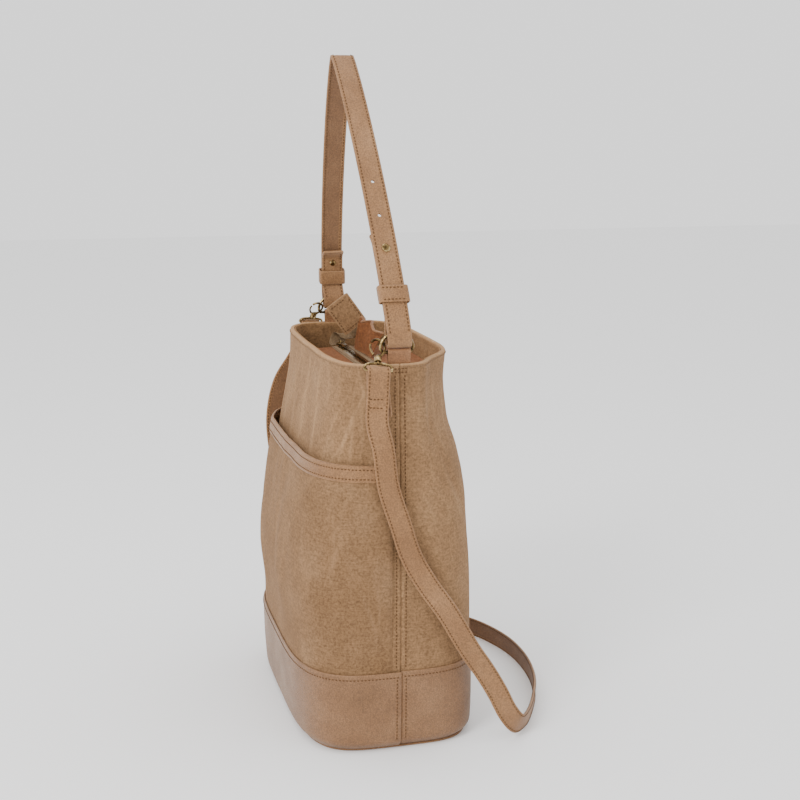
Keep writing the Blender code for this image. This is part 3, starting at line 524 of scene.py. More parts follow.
def leather(name, dark, mid, light, rough=0.55, cell=900.0, depth=0.0004):
    """Matt grained leather with cloudy dye and a painted highlight on its convex edges."""
    w = Nodes(name, rough)
    pos = w.add("ShaderNodeTexCoord").outputs["Object"]
    cloud = w.noise(pos, 22.0, 4.0, 0.6)
    fine = w.noise(pos, 700.0, 3.0, 0.6)
    v = w.add("ShaderNodeTexVoronoi", feature="DISTANCE_TO_EDGE")
    v.inputs["Scale"].default_value = cell
    v.inputs["Randomness"].default_value = 1.0
    w.link(pos, v.inputs["Vector"])
    pore = w.ramp(v.outputs["Distance"], [(0.0, (0, 0, 0)), (0.16, (1, 1, 1))])
    base = w.ramp(cloud, [(0.30, dark), (0.5, mid), (0.74, light)])
    tint = w.ramp(fine, [(0.36, (0.70, 0.69, 0.68)), (0.64, (1.25, 1.24, 1.23))])
    color = w.blend("MULTIPLY", 0.9, base, tint)
    color = w.blend("MULTIPLY", 0.22, color, pore)
    # painted highlight: paler colour on convex edges
    point = w.add("ShaderNodeNewGeometry").outputs["Pointiness"]
    edge = w.ramp(point, [(0.52, (0, 0, 0)), (0.62, (1, 1, 1))])
    edge = w.blend("MULTIPLY", 1.0, edge, (0.4, 0.4, 0.4))
    color = w.blend("MIX", edge, color, tuple(min(c * 1.3, 1.0) for c in light))
    w.link(color, w.bsdf.inputs["Base Color"])
    normal = w.bump(pore, 0.35, depth)
    normal = w.bump(fine, 0.3, 0.0004, normal)
    w.link(normal, w.bsdf.inputs["Normal"])
    gloss = w.ramp(cloud, [(0.3, (rough + 0.12,) * 3), (0.7, (rough - 0.05,) * 3)])
    w.link(gloss, w.bsdf.inputs["Roughness"])
    w.bsdf.inputs["Specular IOR Level"].default_value = 0.35
    w.bsdf.inputs["Sheen Weight"].default_value = 0.12
    return w.mat


def brass(name):
    """Antique brass: dark brown in the hollows, rubbed bright on the high spots."""
    w = Nodes(name, 0.34, 1.0)
    pos = w.add("ShaderNodeTexCoord").outputs["Object"]
    cloud = w.noise(pos, 190.0, 4.0, 0.65)
    scratch = w.noise(pos, 1400.0, 2.0, 0.5, (1.0, 0.2, 1.0))
    point = w.add("ShaderNodeNewGeometry").outputs["Pointiness"]
    rub = w.math("ADD", cloud, w.math("MULTIPLY", w.math("SUBTRACT", point, 0.5), 2.2))
    color = w.ramp(rub, [(0.40, (0.04, 0.025, 0.010)), (0.55, (0.10, 0.065, 0.026)),
                         (0.68, (0.27, 0.18, 0.075)), (0.86, (0.58, 0.42, 0.20))])
    w.link(color, w.bsdf.inputs["Base Color"])
    gloss = w.ramp(rub, [(0.36, (0.5,) * 3), (0.7, (0.24,) * 3)])
    w.link(gloss, w.bsdf.inputs["Roughness"])
    w.link(w.bump(scratch, 0.12, 0.0002), w.bsdf.inputs["Normal"])
    return w.mat


def thread(name, rgb):
    """Waxed sewing thread with its twist."""
    w = Nodes(name, 0.6)
    pos = w.add("ShaderNodeTexCoord").outputs["Object"]
    twist = w.noise(pos, 2600.0, 2.0, 0.5, (1.0, 1.0, 0.6))
    color = w.ramp(twist, [(0.35, tuple(c * 0.75 for c in rgb)),
                           (0.65, tuple(c * 1.15 for c in rgb))])
    w.link(color, w.bsdf.inputs["Base Color"])
    w.link(w.bump(twist, 0.4, 0.0002), w.bsdf.inputs["Normal"])
    w.bsdf.inputs["Specular IOR Level"].default_value = 0.12
    return w.mat


CANVAS = cloth("canvas", (0.195, 0.107, 0.050), (0.235, 0.132, 0.063), (0.279, 0.165, 0.083))
POCKET = cloth("pocket_canvas", (0.169, 0.091, 0.041), (0.202, 0.112, 0.053), (0.244, 0.142, 0.072))
INSIDE = cloth("facing_canvas", (0.159, 0.083, 0.036), (0.195, 0.104, 0.045), (0.238, 0.131, 0.059))
RUST = cloth("rust_lining", (0.117, 0.038, 0.013), (0.148, 0.053, 0.018), (0.179, 0.070, 0.026),
             0.0008, 0.15, 0.5)
STRAP = leather("strap_leather", (0.220, 0.105, 0.040), (0.266, 0.131, 0.051),
                (0.319, 0.166, 0.070))
STRAP_BACK = leather("strap_flesh_side", (0.150, 0.072, 0.030), (0.185, 0.090, 0.038),
                     (0.225, 0.115, 0.050), 0.7, 1300.0, 0.0003)
BASE = leather("base_leather", (0.175, 0.086, 0.035), (0.213, 0.105, 0.044),
               (0.253, 0.131, 0.058), 0.5, 650.0, 0.0005)
TAB = leather("tab_leather", (0.205, 0.088, 0.034), (0.251, 0.112, 0.044), (0.304, 0.147, 0.063))
BRASS = brass("antique_brass")
TAPE = cloth("zip_tape", (0.110, 0.065, 0.034), (0.143, 0.090, 0.046), (0.187, 0.125, 0.071),
             0.0007, 0.5, 0.2)
THREAD = thread("thread_brown", (0.105, 0.052, 0.022))
HEM_THREAD = thread("thread_tan", (0.215, 0.125, 0.065))
BOARD = leather("stiffener", (0.05, 0.045, 0.04), (0.07, 0.06, 0.05), (0.09, 0.08, 0.07), 0.8)


# ---- body ------------------------------------------------------------------------------------
def arc(start, end, count):
    """Angles from seam to seam, closer together at both ends."""
    near = np.array([0.0, 0.0015, 0.004, 0.008, 0.014, 0.022])
    mid = np.linspace(0.032, end - start - 0.032, count)
    return start + np.concatenate([near, mid, (end - start) - near[::-1]])


BACK = arc(SEAM, math.pi - SEAM, 150)
FRONT = arc(math.pi + SEAM, 2 * math.pi - SEAM, 150)
ROUND = np.linspace(0, 2 * math.pi, 241)[:-1]
STEP = 0.1          # radians by which the pocket stops short of each seam
POCKET_T = arc(math.pi + SEAM + STEP, 2 * math.pi - SEAM - STEP, 140)


def seam_dip(taus):
    """Panels turn in where they meet at the side seams."""
    d = np.minimum(np.abs(np.sin(taus)) * 90.0, 9.0)
    return -0.9 * np.exp(-(d / 1.5) ** 2)


def side_gap(taus):
    """1 away from the side seams, 0 where the ring tabs pass under the hem."""
    y = np.abs(outline(RIM_Z, taus)[:, 1])
    return np.clip((y - 14.0) / 6.0, 0.0, 1.0)


def panel(name, taus, cad):
    dip = seam_dip(taus)
    deep = 1.8 + 2.5 * side_gap(taus)
    low = list(np.arange(66.0, RIM_Z - 13.5, 3.0))
    hem = list(np.arange(RIM_Z - 12.0, RIM_Z - 1.5, 2.0))
    # the hem's edge shows as a faint step where the turned cloth ends inside
    rows = [(z, dip) for z in low]
    rows += [(RIM_Z - 13.0, dip), (RIM_Z - 12.6, dip + 0.12)]
    rows += [(z, dip + 0.14) for z in hem]
    rows += [(RIM_Z - 1.1, dip), (RIM_Z - 0.4, dip - 0.45), (RIM_Z, -deep * 0.5),
             (RIM_Z - 0.3, -deep + 0.5), (RIM_Z - 1.1, -deep)]
    rows += [(z, -deep) for z in hem[::-1]]
    rows += [(RIM_Z - 12.8, -deep + 0.2), (RIM_Z - 13.4, -1.8 + dip * 0)]
    rows += [(z, -1.8 + dip * 0) for z in low[::-1]]
    return cloth_wall(name, taus, rows, CANVAS, "bag", (cad,))


panel("canvas_front", FRONT, "front_panel")
panel("canvas_back", BACK, "back_panel")


def room(taus, z):
    """Depth of the slip pocket behind its cloth."""
    across = np.maximum(0.0, -np.sin(taus)) ** 0.5
    rise = min(max((z - 95.0) / 60.0, 0.0), 1.0)
    return 0.3 + 6.5 * across * rise * rise * (3 - 2 * rise)


POCKET_R = 88.0     # distance of the pocket's side edges from the bag's middle
from_edge = np.minimum(POCKET_T - POCKET_T[0], POCKET_T[-1] - POCKET_T) * POCKET_R
tight = 1.1 * np.exp(-(from_edge / 2.2) ** 2)   # the cloth lies flat at its edges
rows = [(z, room(POCKET_T, z) + 1.5 - tight) for z in np.arange(62.0, 280.5, 3.0)]
rows += [(z, room(POCKET_T, z)) for z in np.arange(62.0, 280.5, 3.0)[::-1]]
cloth_wall("pocket_cloth", POCKET_T, rows, POCKET, "bag", ("front_pocket",))


def band_row(z, off):
    return (z, room(POCKET_T, min(max(z, BAND_LO), BAND_HI)) + off)


rows = [band_row(BAND_LO - 1.0, 2.1), band_row(BAND_LO - 0.8, 2.75), band_row(BAND_LO, 3.1)]
rows += [band_row(z, 3.15 + 0.12 * math.sin((z - BAND_LO) / 13.5 * math.pi) ** 0.5)
         for z in np.linspace(BAND_LO + 1.5, BAND_HI - 1.5, 8)]
rows += [band_row(BAND_HI - 0.2, 2.95), band_row(BAND_HI + 0.7, 2.3), band_row(BAND_HI + 1.2, 1.4),
         band_row(BAND_HI + 1.1, 0.6), band_row(BAND_HI - 0.7, 0.4), band_row(BAND_HI - 0.6, 1.0),
         band_row(BAND_HI - 0.8, 1.75)]
rows += [band_row(z, 1.8) for z in np.linspace(BAND_HI - 2.5, BAND_LO, 4)]
cloth_wall("pocket_binding", POCKET_T, rows, STRAP, "bag", ("pocket_band",))


def wrap(taus, off, name, cad):
    """Leather wall of the base, rounded in at its foot, folded at its top edge."""
    dip = seam_dip(taus)

    def tuck(z):
        return -5.0 * (1 - ease(z, -4.5, 9.5)) * 1.35 if z < 9.5 else 0.0

    heights = [2.6, 3.3, 4.2, 5.4, 7.0, 9.0, 12.0] + list(np.arange(15.0, BASE_Z - 2, 3.0))
    rows = [(z, dip + off + tuck(z)) for z in heights]
    rows += [(BASE_Z - 1.4, dip + off + 0.05), (BASE_Z - 0.5, dip + off - 0.3),
             (BASE_Z, dip * 0 + off - 0.95), (BASE_Z - 0.4, dip * 0 + off - 1.6)]
    rows += [(z, dip * 0 + off - 1.8 + tuck(z)) for z in heights[::-1]]
    cloth_wall(name, taus, rows, BASE, "bag", (cad,))


wrap(FRONT, 3.9, "leather_base_front", "front_base_wrap")
wrap(BACK, 2.1, "leather_base_back", "back_base_wrap")

rows = []
for z, off in ((0.0, -4.2), (0.25, -3.2), (0.7, -2.6), (1.5, -2.6), (2.0, -3.0), (2.2, -4.0)):
    p = ring(8.0, ROUND, off)
    p[:, 2] = z
    rows.append(p)
faces = closed_grid(rows, False)
put("leather_sole", np.concatenate(rows), faces, BASE, "bag", ("base_panel",))


def bucket(off, floor, top):
    rows = []
    for s in (0.02, 0.2, 0.4, 0.6, 0.8, 0.92, 0.98):
        p = ring(10.0, ROUND, off) * s
        p[:, 2] = floor
        rows.append(p)
    heights = [floor + 0.6, floor + 2.5, floor + 6] + list(np.arange(18.0, top - 1, 6.0)) + [top]
    for z in heights:
        inset = -1.5 * (1 - ease(z, floor, floor + 6))
        rows.append(ring(max(z, floor), ROUND, off + inset))
    return rows


outer = bucket(-4.4, 5.2, RIM_Z - 22)
inner = bucket(-5.2, 6.0, RIM_Z - 22)
rows = outer + inner[::-1]
faces = closed_grid(rows, False)
uv = np.concatenate([np.column_stack([girth(ROUND), r[:, 2]]) for r in rows])
put("lining_cloth", np.concatenate(rows), faces, RUST, "bag", ("lining",), uv)

for label, taus in (("front", FRONT), ("back", BACK)):
    zs = np.linspace(RIM_Z - 40, RIM_Z - 1.4, 14)
    # away from the ring tabs the facing closes up against the turned hem
    close = 1.8 * side_gap(taus)
    rows = [(z, -6.4 + close * ease(z, RIM_Z - 12, RIM_Z - 3)) for z in zs]
    rows += [(RIM_Z - 0.8, -6.6 + close), (RIM_Z - 0.5, -6.95 + close),
             (RIM_Z - 0.8, -7.3 + close)]
    rows += [(z, -7.5 + close * ease(z, RIM_Z - 12, RIM_Z - 3)) for z in zs[::-1]]
    cloth_wall("facing_" + label, taus, rows, INSIDE, "bag", (label + "_facing",))


# ---- rows of stitches on the body -----------------------------------------------------------
def line_on(zs, taus, offs):
    """Points and outward directions for matching heights, angles and distances."""
    pts, out = [], []
    for z, t, o in zip(zs, taus, offs):
        a = ring(z, np.array([t]), o)[0]
        b = ring(z, np.array([t]), o + 1.0)[0]
        pts.append(a)
        out.append(b - a)
    return np.array(pts), np.array(out)


def seam_angle(z, side, y):
    """Angle whose outline point lies y off the seam on one side."""
    fine = np.linspace(-0.25, 0.25, 101) + (0.0 if side > 0 else math.pi)
    ys = outline(z, fine)[:, 1]
    order = np.argsort(ys)
    return float(np.interp(y, ys[order], fine[order]))


def seam_rows():
    for label, side in (("right", 1), ("left", -1)):
        for tag, y in (("front", -4.6), ("back", 4.6)):
            zs = np.arange(BASE_Z + 2.0, RIM_Z - 2.0, 4.0)
            taus = [seam_angle(z, side, y) for z in zs]
            pts, out = line_on(zs, taus, [0.05] * len(zs))
            stitches("seam_stitches_%s_%s" % (label, tag), pts, out, THREAD, "bag")
            lift = 3.95 if tag == "front" else 2.15
            zs = np.arange(10.0, BASE_Z - 1.0, 3.0)
            taus = [seam_angle(z, side, y) for z in zs]
            pts, out = line_on(zs, taus, [lift] * len(zs))
            stitches("base_seam_stitches_%s_%s" % (label, tag), pts, out, THREAD, "bag")


seam_rows()


def level_row(name, z, taus, offs, mat):
    pts, out = line_on([z] * len(taus), taus, offs)
    stitches(name, pts, out, mat, "bag")


ROW = 220           # points along a row of stitches
fine_front = np.linspace(FRONT[4], FRONT[-5], ROW)
fine_back = np.linspace(BACK[4], BACK[-5], ROW)
fine_pocket = np.linspace(POCKET_T[3], POCKET_T[-4], 200)
level_row("base_stitches_front", BASE_Z - 5.0, fine_front, [3.95] * ROW, THREAD)
level_row("base_stitches_back", BASE_Z - 5.0, fine_back, [2.15] * ROW, THREAD)
level_row("band_stitches_low", BAND_LO + 2.2, fine_pocket,
          room(fine_pocket, BAND_LO + 2.2) + 3.25, THREAD)
level_row("band_stitches_high", BAND_HI - 2.4, fine_pocket,
          room(fine_pocket, BAND_HI - 2.4) + 3.25, THREAD)
level_row("hem_stitches_front", RIM_Z - 3.2, fine_front, [0.2] * ROW, HEM_THREAD)
level_row("hem_stitches_back", RIM_Z - 3.2, fine_back, [0.2] * ROW, HEM_THREAD)


# ---- shoulder strap --------------------------------------------------------------------------
TAB_X = 140.7
BAR_Z = RIM_Z + 10.5
STRAP_W = 23.0
STRAP_T = 2.4
TOP_Z = 655.0
LOW_Z = RIM_Z + 27.0
PLY = 3.0
LEAN = -20.0
ENDS = {
    "right": dict(side=1, tip=RIM_Z + 118, stud=RIM_Z + 103, keeper=RIM_Z + 63),
    "left": dict(side=-1, tip=RIM_Z + 82.5, stud=RIM_Z + 68, keeper=RIM_Z + 51),
}


def lean(pts):
    """Shear the strap plane slightly to the front."""
    pts = np.array(pts, float)
    k = np.maximum(pts[..., 2] - (RIM_Z + 16.0), 0.0) / (TOP_Z - RIM_Z - 16.0)
    pts[..., 1] = pts[..., 1] + LEAN * k
    return pts


def leg_x(z):
    t = min(max((z - LOW_Z) / (TOP_Z - LOW_Z), 0.0), 1.0)
    return 146.8 * (1 - t ** 1.25) ** 0.85


def leg_dir(z):
    d = np.array([leg_x(z + 0.5) - leg_x(z - 0.5), 1.0])
    return d / np.linalg.norm(d)


def strap_end(tip_z, stud_z):
    """Inner ply and loop of one strap end, tip first, in the XZ plane."""
    out = []
    for z, extra in ((tip_z, 6.0), (tip_z - 4, 3.0), (tip_z - 8, 0.8), (stud_z + 5, 0.0),
                     (stud_z, 0.0)):
        t = leg_dir(z)
        out.append((leg_x(z) - (PLY + extra) * t[1], z + (PLY + extra) * t[0]))
    z = stud_z - 9
    while z > RIM_Z + 46:
        t = leg_dir(z)
        out.append((leg_x(z) - PLY * t[1], z + PLY * t[0]))
        z = z - 9
    t = leg_dir(RIM_Z + 42)
    out.append((leg_x(RIM_Z + 42) - PLY * t[1], RIM_Z + 42 + PLY * t[0]))
    return out + [(136.6, RIM_Z + 29), (136.4, RIM_Z + 20.4), (138.0, RIM_Z + 16.9),
                  (141.0, RIM_Z + 15.7), (144.3, RIM_Z + 16.5), (146.4, RIM_Z + 20.0)]


def strap_path():
    right = strap_end(ENDS["right"]["tip"], ENDS["right"]["stud"])
    left = strap_end(ENDS["left"]["tip"], ENDS["left"]["stud"])
    up = [(leg_x(z), z) for z in np.linspace(LOW_Z + 4, TOP_Z - 30, 14)]
    top = [(leg_x(z), z) for z in (TOP_Z - 18, TOP_Z - 9, TOP_Z - 3)]
    arch = up + top + [(0.0, TOP_Z)] + [(-x, z) for x, z in reversed(up + top)]
    flat = right + arch + [(-x, z) for x, z in reversed(left)]
    return lean(spline([(x, 0.0, z) for x, z in flat], 1.6))


def punch(obj, spots):
    """Round holes through a strap."""
    for p, n, r, reach in spots:
        bpy.ops.mesh.primitive_cylinder_add(vertices=24, radius=r * MM, depth=reach * MM)
        tool = bpy.context.object
        tool.matrix_world = (Matrix.Translation(Vector(p * MM))
                             @ Vector(n).to_track_quat("Z", "Y").to_matrix().to_4x4())
        mod = obj.modifiers.new("hole", "BOOLEAN")
        mod.operation = "DIFFERENCE"
        mod.solver = "EXACT"
        mod.object = tool
        bpy.context.view_layer.update()
        graph = bpy.context.evaluated_depsgraph_get()
        made = bpy.data.meshes.new_from_object(obj.evaluated_get(graph))
        obj.modifiers.clear()
        obj.data = made
        bpy.data.objects.remove(tool, do_unlink=True)


def edge_rows(name, pts, wide, width, thick, inset, mat, body, faces_of=(1, -1)):
    """Stitches near both edges of a strap, on the chosen faces."""
    t, w, n = frames(pts, wide)
    for face in faces_of:
        for tag, sy in (("a", 1), ("b", -1)):
            line = pts + w * sy * (width / 2 - inset) + n * face * thick / 2
            stitches("%s_%s_%s" % (name, "out" if face > 0 else "in", tag), line, n * face,
                     mat, body)


path = strap_path()
across = np.tile(np.array([0.0, 1.0, 0.0]), (len(path), 1))
strap = strap_mesh("strap", path, across, STRAP_W, STRAP_T, STRAP, "strap",
                   ("shoulder_strap",), back=STRAP_BACK)


def on_strap(side, z):
    """Point on the middle of a leg and its outward direction."""
    t = leg_dir(z)
    p = lean([side * leg_x(z), 0.0, z])
    return p, np.array([side * t[1], 0.0, -t[0]])


spots = []
for height in (132.0, 162.0):
    p, n = on_strap(1, RIM_Z + height)
    spots.append((p, n, 1.7, 9.0))
for end in ENDS.values():
    p, n = on_strap(end["side"], end["stud"])
    spots.append((p - n * 2.5, n, 2.2, 16.0))
punch(strap, spots)
# no stitches round the bottom of the two loops, which turn on the rings
high = np.where(path[:, 2] > RIM_Z + 24.0)[0]
for tag, run in zip(("tip_right", "arch", "tip_left"),
                    np.split(high, np.where(np.diff(high) > 1)[0] + 1)):
    run = run[2:-2]
    edge_rows("strap_stitches_" + tag, path[run], across[run], STRAP_W, STRAP_T, 2.6, THREAD,
              "strap")

# ---- keepers: closed bands round both plies ---------------------------------------------------
for label, end in ENDS.items():
    side = end["side"]
    p, n = on_strap(side, end["keeper"])
    d = leg_dir(end["keeper"])
    up = np.array([side * d[0], LEAN / (TOP_Z - RIM_Z - 16.0), d[1]])
    up = up / np.linalg.norm(up)
    mid = p - n * PLY / 2
    half_w, half_t, r = STRAP_W / 2 + 1.6, (PLY + STRAP_T) / 2 + 1.4, 1.7
    loop = []
    for sy, sn, a0 in ((1, 1, 0), (-1, 1, 90), (-1, -1, 180), (1, -1, 270)):
        for a in (0, 22, 45, 68, 90):
            ang = math.radians(a0 + a)
            loop.append((sy * (half_w - r) + r * math.cos(ang),
                         sn * (half_t - r) + r * math.sin(ang), math.cos(ang), math.sin(ang)))
        if a0 in (0, 180):
            for f in (0.6, 0.3, 0.0, -0.3, -0.6):
                y = f * (half_w - r) * (1 if a0 == 0 else -1)
                loop.append((y, sn * half_t, 0.0, float(sn)))
    shape = [(-7.9, 0.1), (-8.0, 0.5), (-7.7, 1.0), (-7.0, 1.15), (-3.5, 1.22), (0, 1.25),
             (3.5, 1.22), (7.0, 1.15), (7.7, 1.0), (8.0, 0.5), (7.9, 0.1), (7.3, 0.0),
             (0, 0.0), (-7.3, 0.0)]
    rows = []
    for y, q, ny, nq in loop:
        rows.append([mid + up * h + n * (q + nq * g) + np.array([0.0, y + ny * g, 0.0])
                     for h, g in shape])
    rows = np.array(rows)
    put("keeper_band_" + label, rows.reshape(-1, 3), closed_grid(rows, True), STRAP,
        "keeper_" + label, ("strap_keeper_" + label,))
    for tag, h in (("low", -5.6), ("high", 5.6)):
        line = [mid + up * h + n * (half_t + 1.2) + np.array([0.0, y, 0.0])
                for y in np.linspace(-half_w + 1, half_w - 1, 40)]
        stitches("keeper_stitches_%s_%s" % (label, tag), line, [n] * 40, THREAD,
                 "keeper_" + label)

# ---- ring tabs ----------------------------------------------------------------------------------
for label, side in (("right", 1), ("left", -1)):
    line = [(0.75, RIM_Z - 17), (0.75, RIM_Z - 8), (0.8, RIM_Z + 1), (1.4, RIM_Z + 5)]
    line += [(2.75 * math.cos(a), BAR_Z + 2.75 * math.sin(a))
             for a in np.linspace(-0.5, math.pi + 0.5, 11)]
    line += [(-1.4, RIM_Z + 5), (-0.8, RIM_Z + 1), (-0.75, RIM_Z - 8), (-0.75, RIM_Z - 17)]
    pts = spline([(side * TAB_X + x, 0.0, z) for x, z in line], 0.8)
    wide = np.tile(np.array([0.0, 1.0, 0.0]), (len(pts), 1))
    strap_mesh("ring_tab_" + label, pts, wide, 21.6, 1.2, TAB, "bag",
               ("side_tab_" + label,))
    for tag, z in (("low", RIM_Z - 8.0), ("high", RIM_Z - 4.6)):
        ys = np.linspace(-9.5, 9.5, 40)
        taus = [seam_angle(z, side, y) for y in ys]
        pts, out = line_on([z] * 40, taus, [0.1] * 40)
        stitches("tab_stitches_%s_%s" % (label, tag), pts, out, THREAD, "bag",
                 2.4, 0.9)

# ---- crossbody strap --------------------------------------------------------------------------
HOOK_W = np.array((-0.75, 0.15, 0.77))
HOOK_W = HOOK_W / np.linalg.norm(HOOK_W)
CLAW = np.array((141.0, -20.2, 391.0))
EYE_BAR = CLAW - 25.5 * HOOK_W
HOOK_U = np.array((0.0, 1.0, 0.0)) - HOOK_W * HOOK_W[1]
HOOK_U = HOOK_U / np.linalg.norm(HOOK_U)
BODY_STRAP_W = 21.0
BODY_STRAP_T = 2.0
bx, by, bz = EYE_BAR
flat = tuple(HOOK_U)
mirror = (-HOOK_U[0], HOOK_U[1], HOOK_U[2])


def fold(x, first):
    """Half turn of the strap over the bar of the eye."""
    out = []
    for deg in (-12, 25, 60, 90, 120, 155, 192):
        a = math.radians(deg)
        out.append((x + first * 3.2 * math.cos(a), by, bz + 3.2 * math.sin(a),
                    flat if x > 0 else mirror))
    return out


ROUTE = [
    (bx - 2.4, by + 3.0, 329, flat), (bx - 1.9, by + 1.2, 345, flat),
    (bx - 2.1, by, bz - 8, flat), *fold(bx, -1), (bx + 2.0, by, bz - 8, flat),
    (bx + 2.0, by - 1.0, 345, flat),
    (bx + 2.0, by - 1.6, 326, flat), (159.5, -19.0, 298, (0, 1, 0.1)),
    (159.0, -14.5, 264, (0, 1, 0.15)), (159.5, -4.0, 230, (0, 1, 0.25)),
    (160.5, 7.0, 196, (0, 0.95, 0.35)), (161.0, 23.0, 167, (0, 0.9, 0.5)),
    (160.5, 42.0, 139, (0, 0.85, 0.55)), (158.0, 65.0, 99, (-0.05, 0.88, 0.5)),
    (157.0, 82.0, 73, (-0.1, 0.92, 0.45)), (158.0, 94.0, 52, (-0.1, 0.92, 0.5)),
    (159.0, 105.0, 30, (-0.1, 0.8, 0.7)), (154.0, 117.0, 15.5, (0, 0.5, 0.9)),
    (136.0, 132.0, 11.6, (0, 0.25, 1)), (100.0, 152.0, 11.4, (0, 0.1, 1)),
    (55.0, 170.0, 11.4, (0, 0, 1)), (0.0, 180.0, 11.4, (0, 0, 1)),
    (-60.0, 178.0, 11.4, (0, 0, 1)), (-120.0, 158.0, 11.4, (0, 0, 1)),
    (-165.0, 118.0, 13.0, (0, 0, 1)), (-190.0, 65.0, 25.0, (0.1, 0.2, 1)),
    (-197.0, 20.0, 58.0, (0.2, 0.6, 0.8)), (-194.0, -16.0, 105.0, (0.1, 0.9, 0.5)),
    (-184.0, -44.0, 160.0, (0, 0.95, 0.35)), (-175.0, -58.0, 215.0, (0, 1, 0.2)),
    (-170.0, -63.0, 265.0, (0, 1, 0)), (-168.0, -55.0, 305.0, (0, 1, -0.25)),
    (-bx - 2.8, by - 17.0, 331, (0, 1, -0.3)),
    (-bx - 2.2, by - 3.5, bz - 21, (0, 1, -0.12)), (-bx - 2.0, by, bz - 13, mirror),
    (-bx - 2.0, by, bz - 8, mirror),
    *fold(-bx, -1), (-bx + 2.1, by, bz - 8, mirror),
    (-bx + 1.9, by + 1.2, 345, mirror), (-bx + 2.4, by + 3.0, 329, mirror),
]
table = spline(np.array([(x, y, z, *w) for x, y, z, w in ROUTE], float), 1.6)
pts, wide = table[:, :3], table[:, 3:]
long_strap = strap_mesh("long_strap", pts, -wide, BODY_STRAP_W, BODY_STRAP_T, STRAP, "bag",
                        ("crossbody_strap",), back=STRAP_BACK)
t, w, n = frames(pts, wide)
edge_rows("long_strap_stitches", pts[3:-3:2], wide[3:-3:2], BODY_STRAP_W, BODY_STRAP_T, 2.2,
          THREAD, "bag")
height = pts[:, 2]
for label, side in (("right", 1), ("left", -1)):
    sel = np.where((pts[:, 0] * side > 0) & (height > 335) & (height < 350)
                   & (np.abs(pts[:, 0]) > bx))[0]
    for tag, z in (("low", 339.0), ("high", 346.5)):
        k = sel[np.argmin(np.abs(height[sel] - z))]
        face = 1.0 if n[k][0] * side > 0 else -1.0
        ys = np.linspace(-8.6, 8.6, 30)
        line = [pts[k] + w[k] * y + n[k] * face * BODY_STRAP_T / 2 for y in ys]
        stitches("strap_end_stitches_%s_%s" % (label, tag), line, [n[k] * face] * 30, THREAD,
                 "bag", 2.4, 0.9)

# ---- zipped mouth --------------------------------------------------------------------------------
ZIP_Z = 356.0
ZIP_Y = -4.0
ZIP_X0 = -84.0
ZIP_X1 = 96.0
SLIT = 0.9


def mouth_y(x, side):
    """Inner face of the facing at the zip level."""
    taus = np.linspace(0.02, math.pi - 0.02, 400)
    if side < 0:
        taus = 2 * math.pi - taus
    p = ring(ZIP_Z, taus, -8.4)
    edge = float(p[np.argmin(np.abs(p[:, 0] - x)), 1])
    if side > 0 and x > 78.0:
        return min(edge, 50.0 - 1.4 * (x - 78.0))
    return edge


for label, side in (("front", -1), ("back", 1)):
    inner = ZIP_Y + side * (SLIT + 4.6)
    rows = []
    for x in np.linspace(ZIP_X0, ZIP_X1, 91):
        edge = mouth_y(x, side)
        edge = max(edge, inner + 2) if side > 0 else min(edge, inner - 2)
        loop = []
        for f in np.linspace(0, 1, 24):
            y = inner + (edge - inner) * f
            dip = -1.0 * math.sin(math.pi * f) * (0.6 + 0.4 * math.sin(x / 17.0 + side))
            loop.append((x, y, ZIP_Z + 0.8 * (1 - (2 * abs(f - 0.5)) ** 24) + dip))
        for f in np.linspace(1, 0, 24):
            y = inner + (edge - inner) * f
            dip = -1.0 * math.sin(math.pi * f) * (0.6 + 0.4 * math.sin(x / 17.0 + side))
            loop.append((x, y, ZIP_Z - 0.8 * (1 - (2 * abs(f - 0.5)) ** 24) + dip - 0.02))
        rows.append(loop)
    rows = np.array(rows)
    uv = rows[:, :, :2].reshape(-1, 2)
    put("zip_panel_" + label, rows.reshape(-1, 3), closed_grid(rows, False), RUST,
        "flap_" + label, ("zip_flap_" + label,), uv)
    # woven tape along the teeth
    rows = []
    for x in np.linspace(ZIP_X0 + 0.5, ZIP_X1 - 0.5, 60):
        near, far = ZIP_Y + side * (SLIT + 4.7), ZIP_Y + side * (SLIT + 10.5)
        top = ZIP_Z + 1.35
        rows.append([(x, near, top - 0.45), (x, near, top), (x, (near + far) / 2, top + 0.08),
                     (x, far, top - 0.25), (x, far, top - 0.6)])
    rows = np.array(rows)
    put("zip_tape_" + label, rows.reshape(-1, 3), closed_grid(rows, False), TAPE,
        "flap_" + label, (), rows[:, :, :2].reshape(-1, 2))
    line = [(x, ZIP_Y + side * (SLIT + 9.2), ZIP_Z + 1.3)
            for x in np.linspace(ZIP_X0 + 2, ZIP_X1 - 2, 90)]
    stitches("zip_stitches_" + label, line, [(0, 0, 1)] * 90, THREAD, "flap_" + label,
             2.2, 0.9, 0.26)

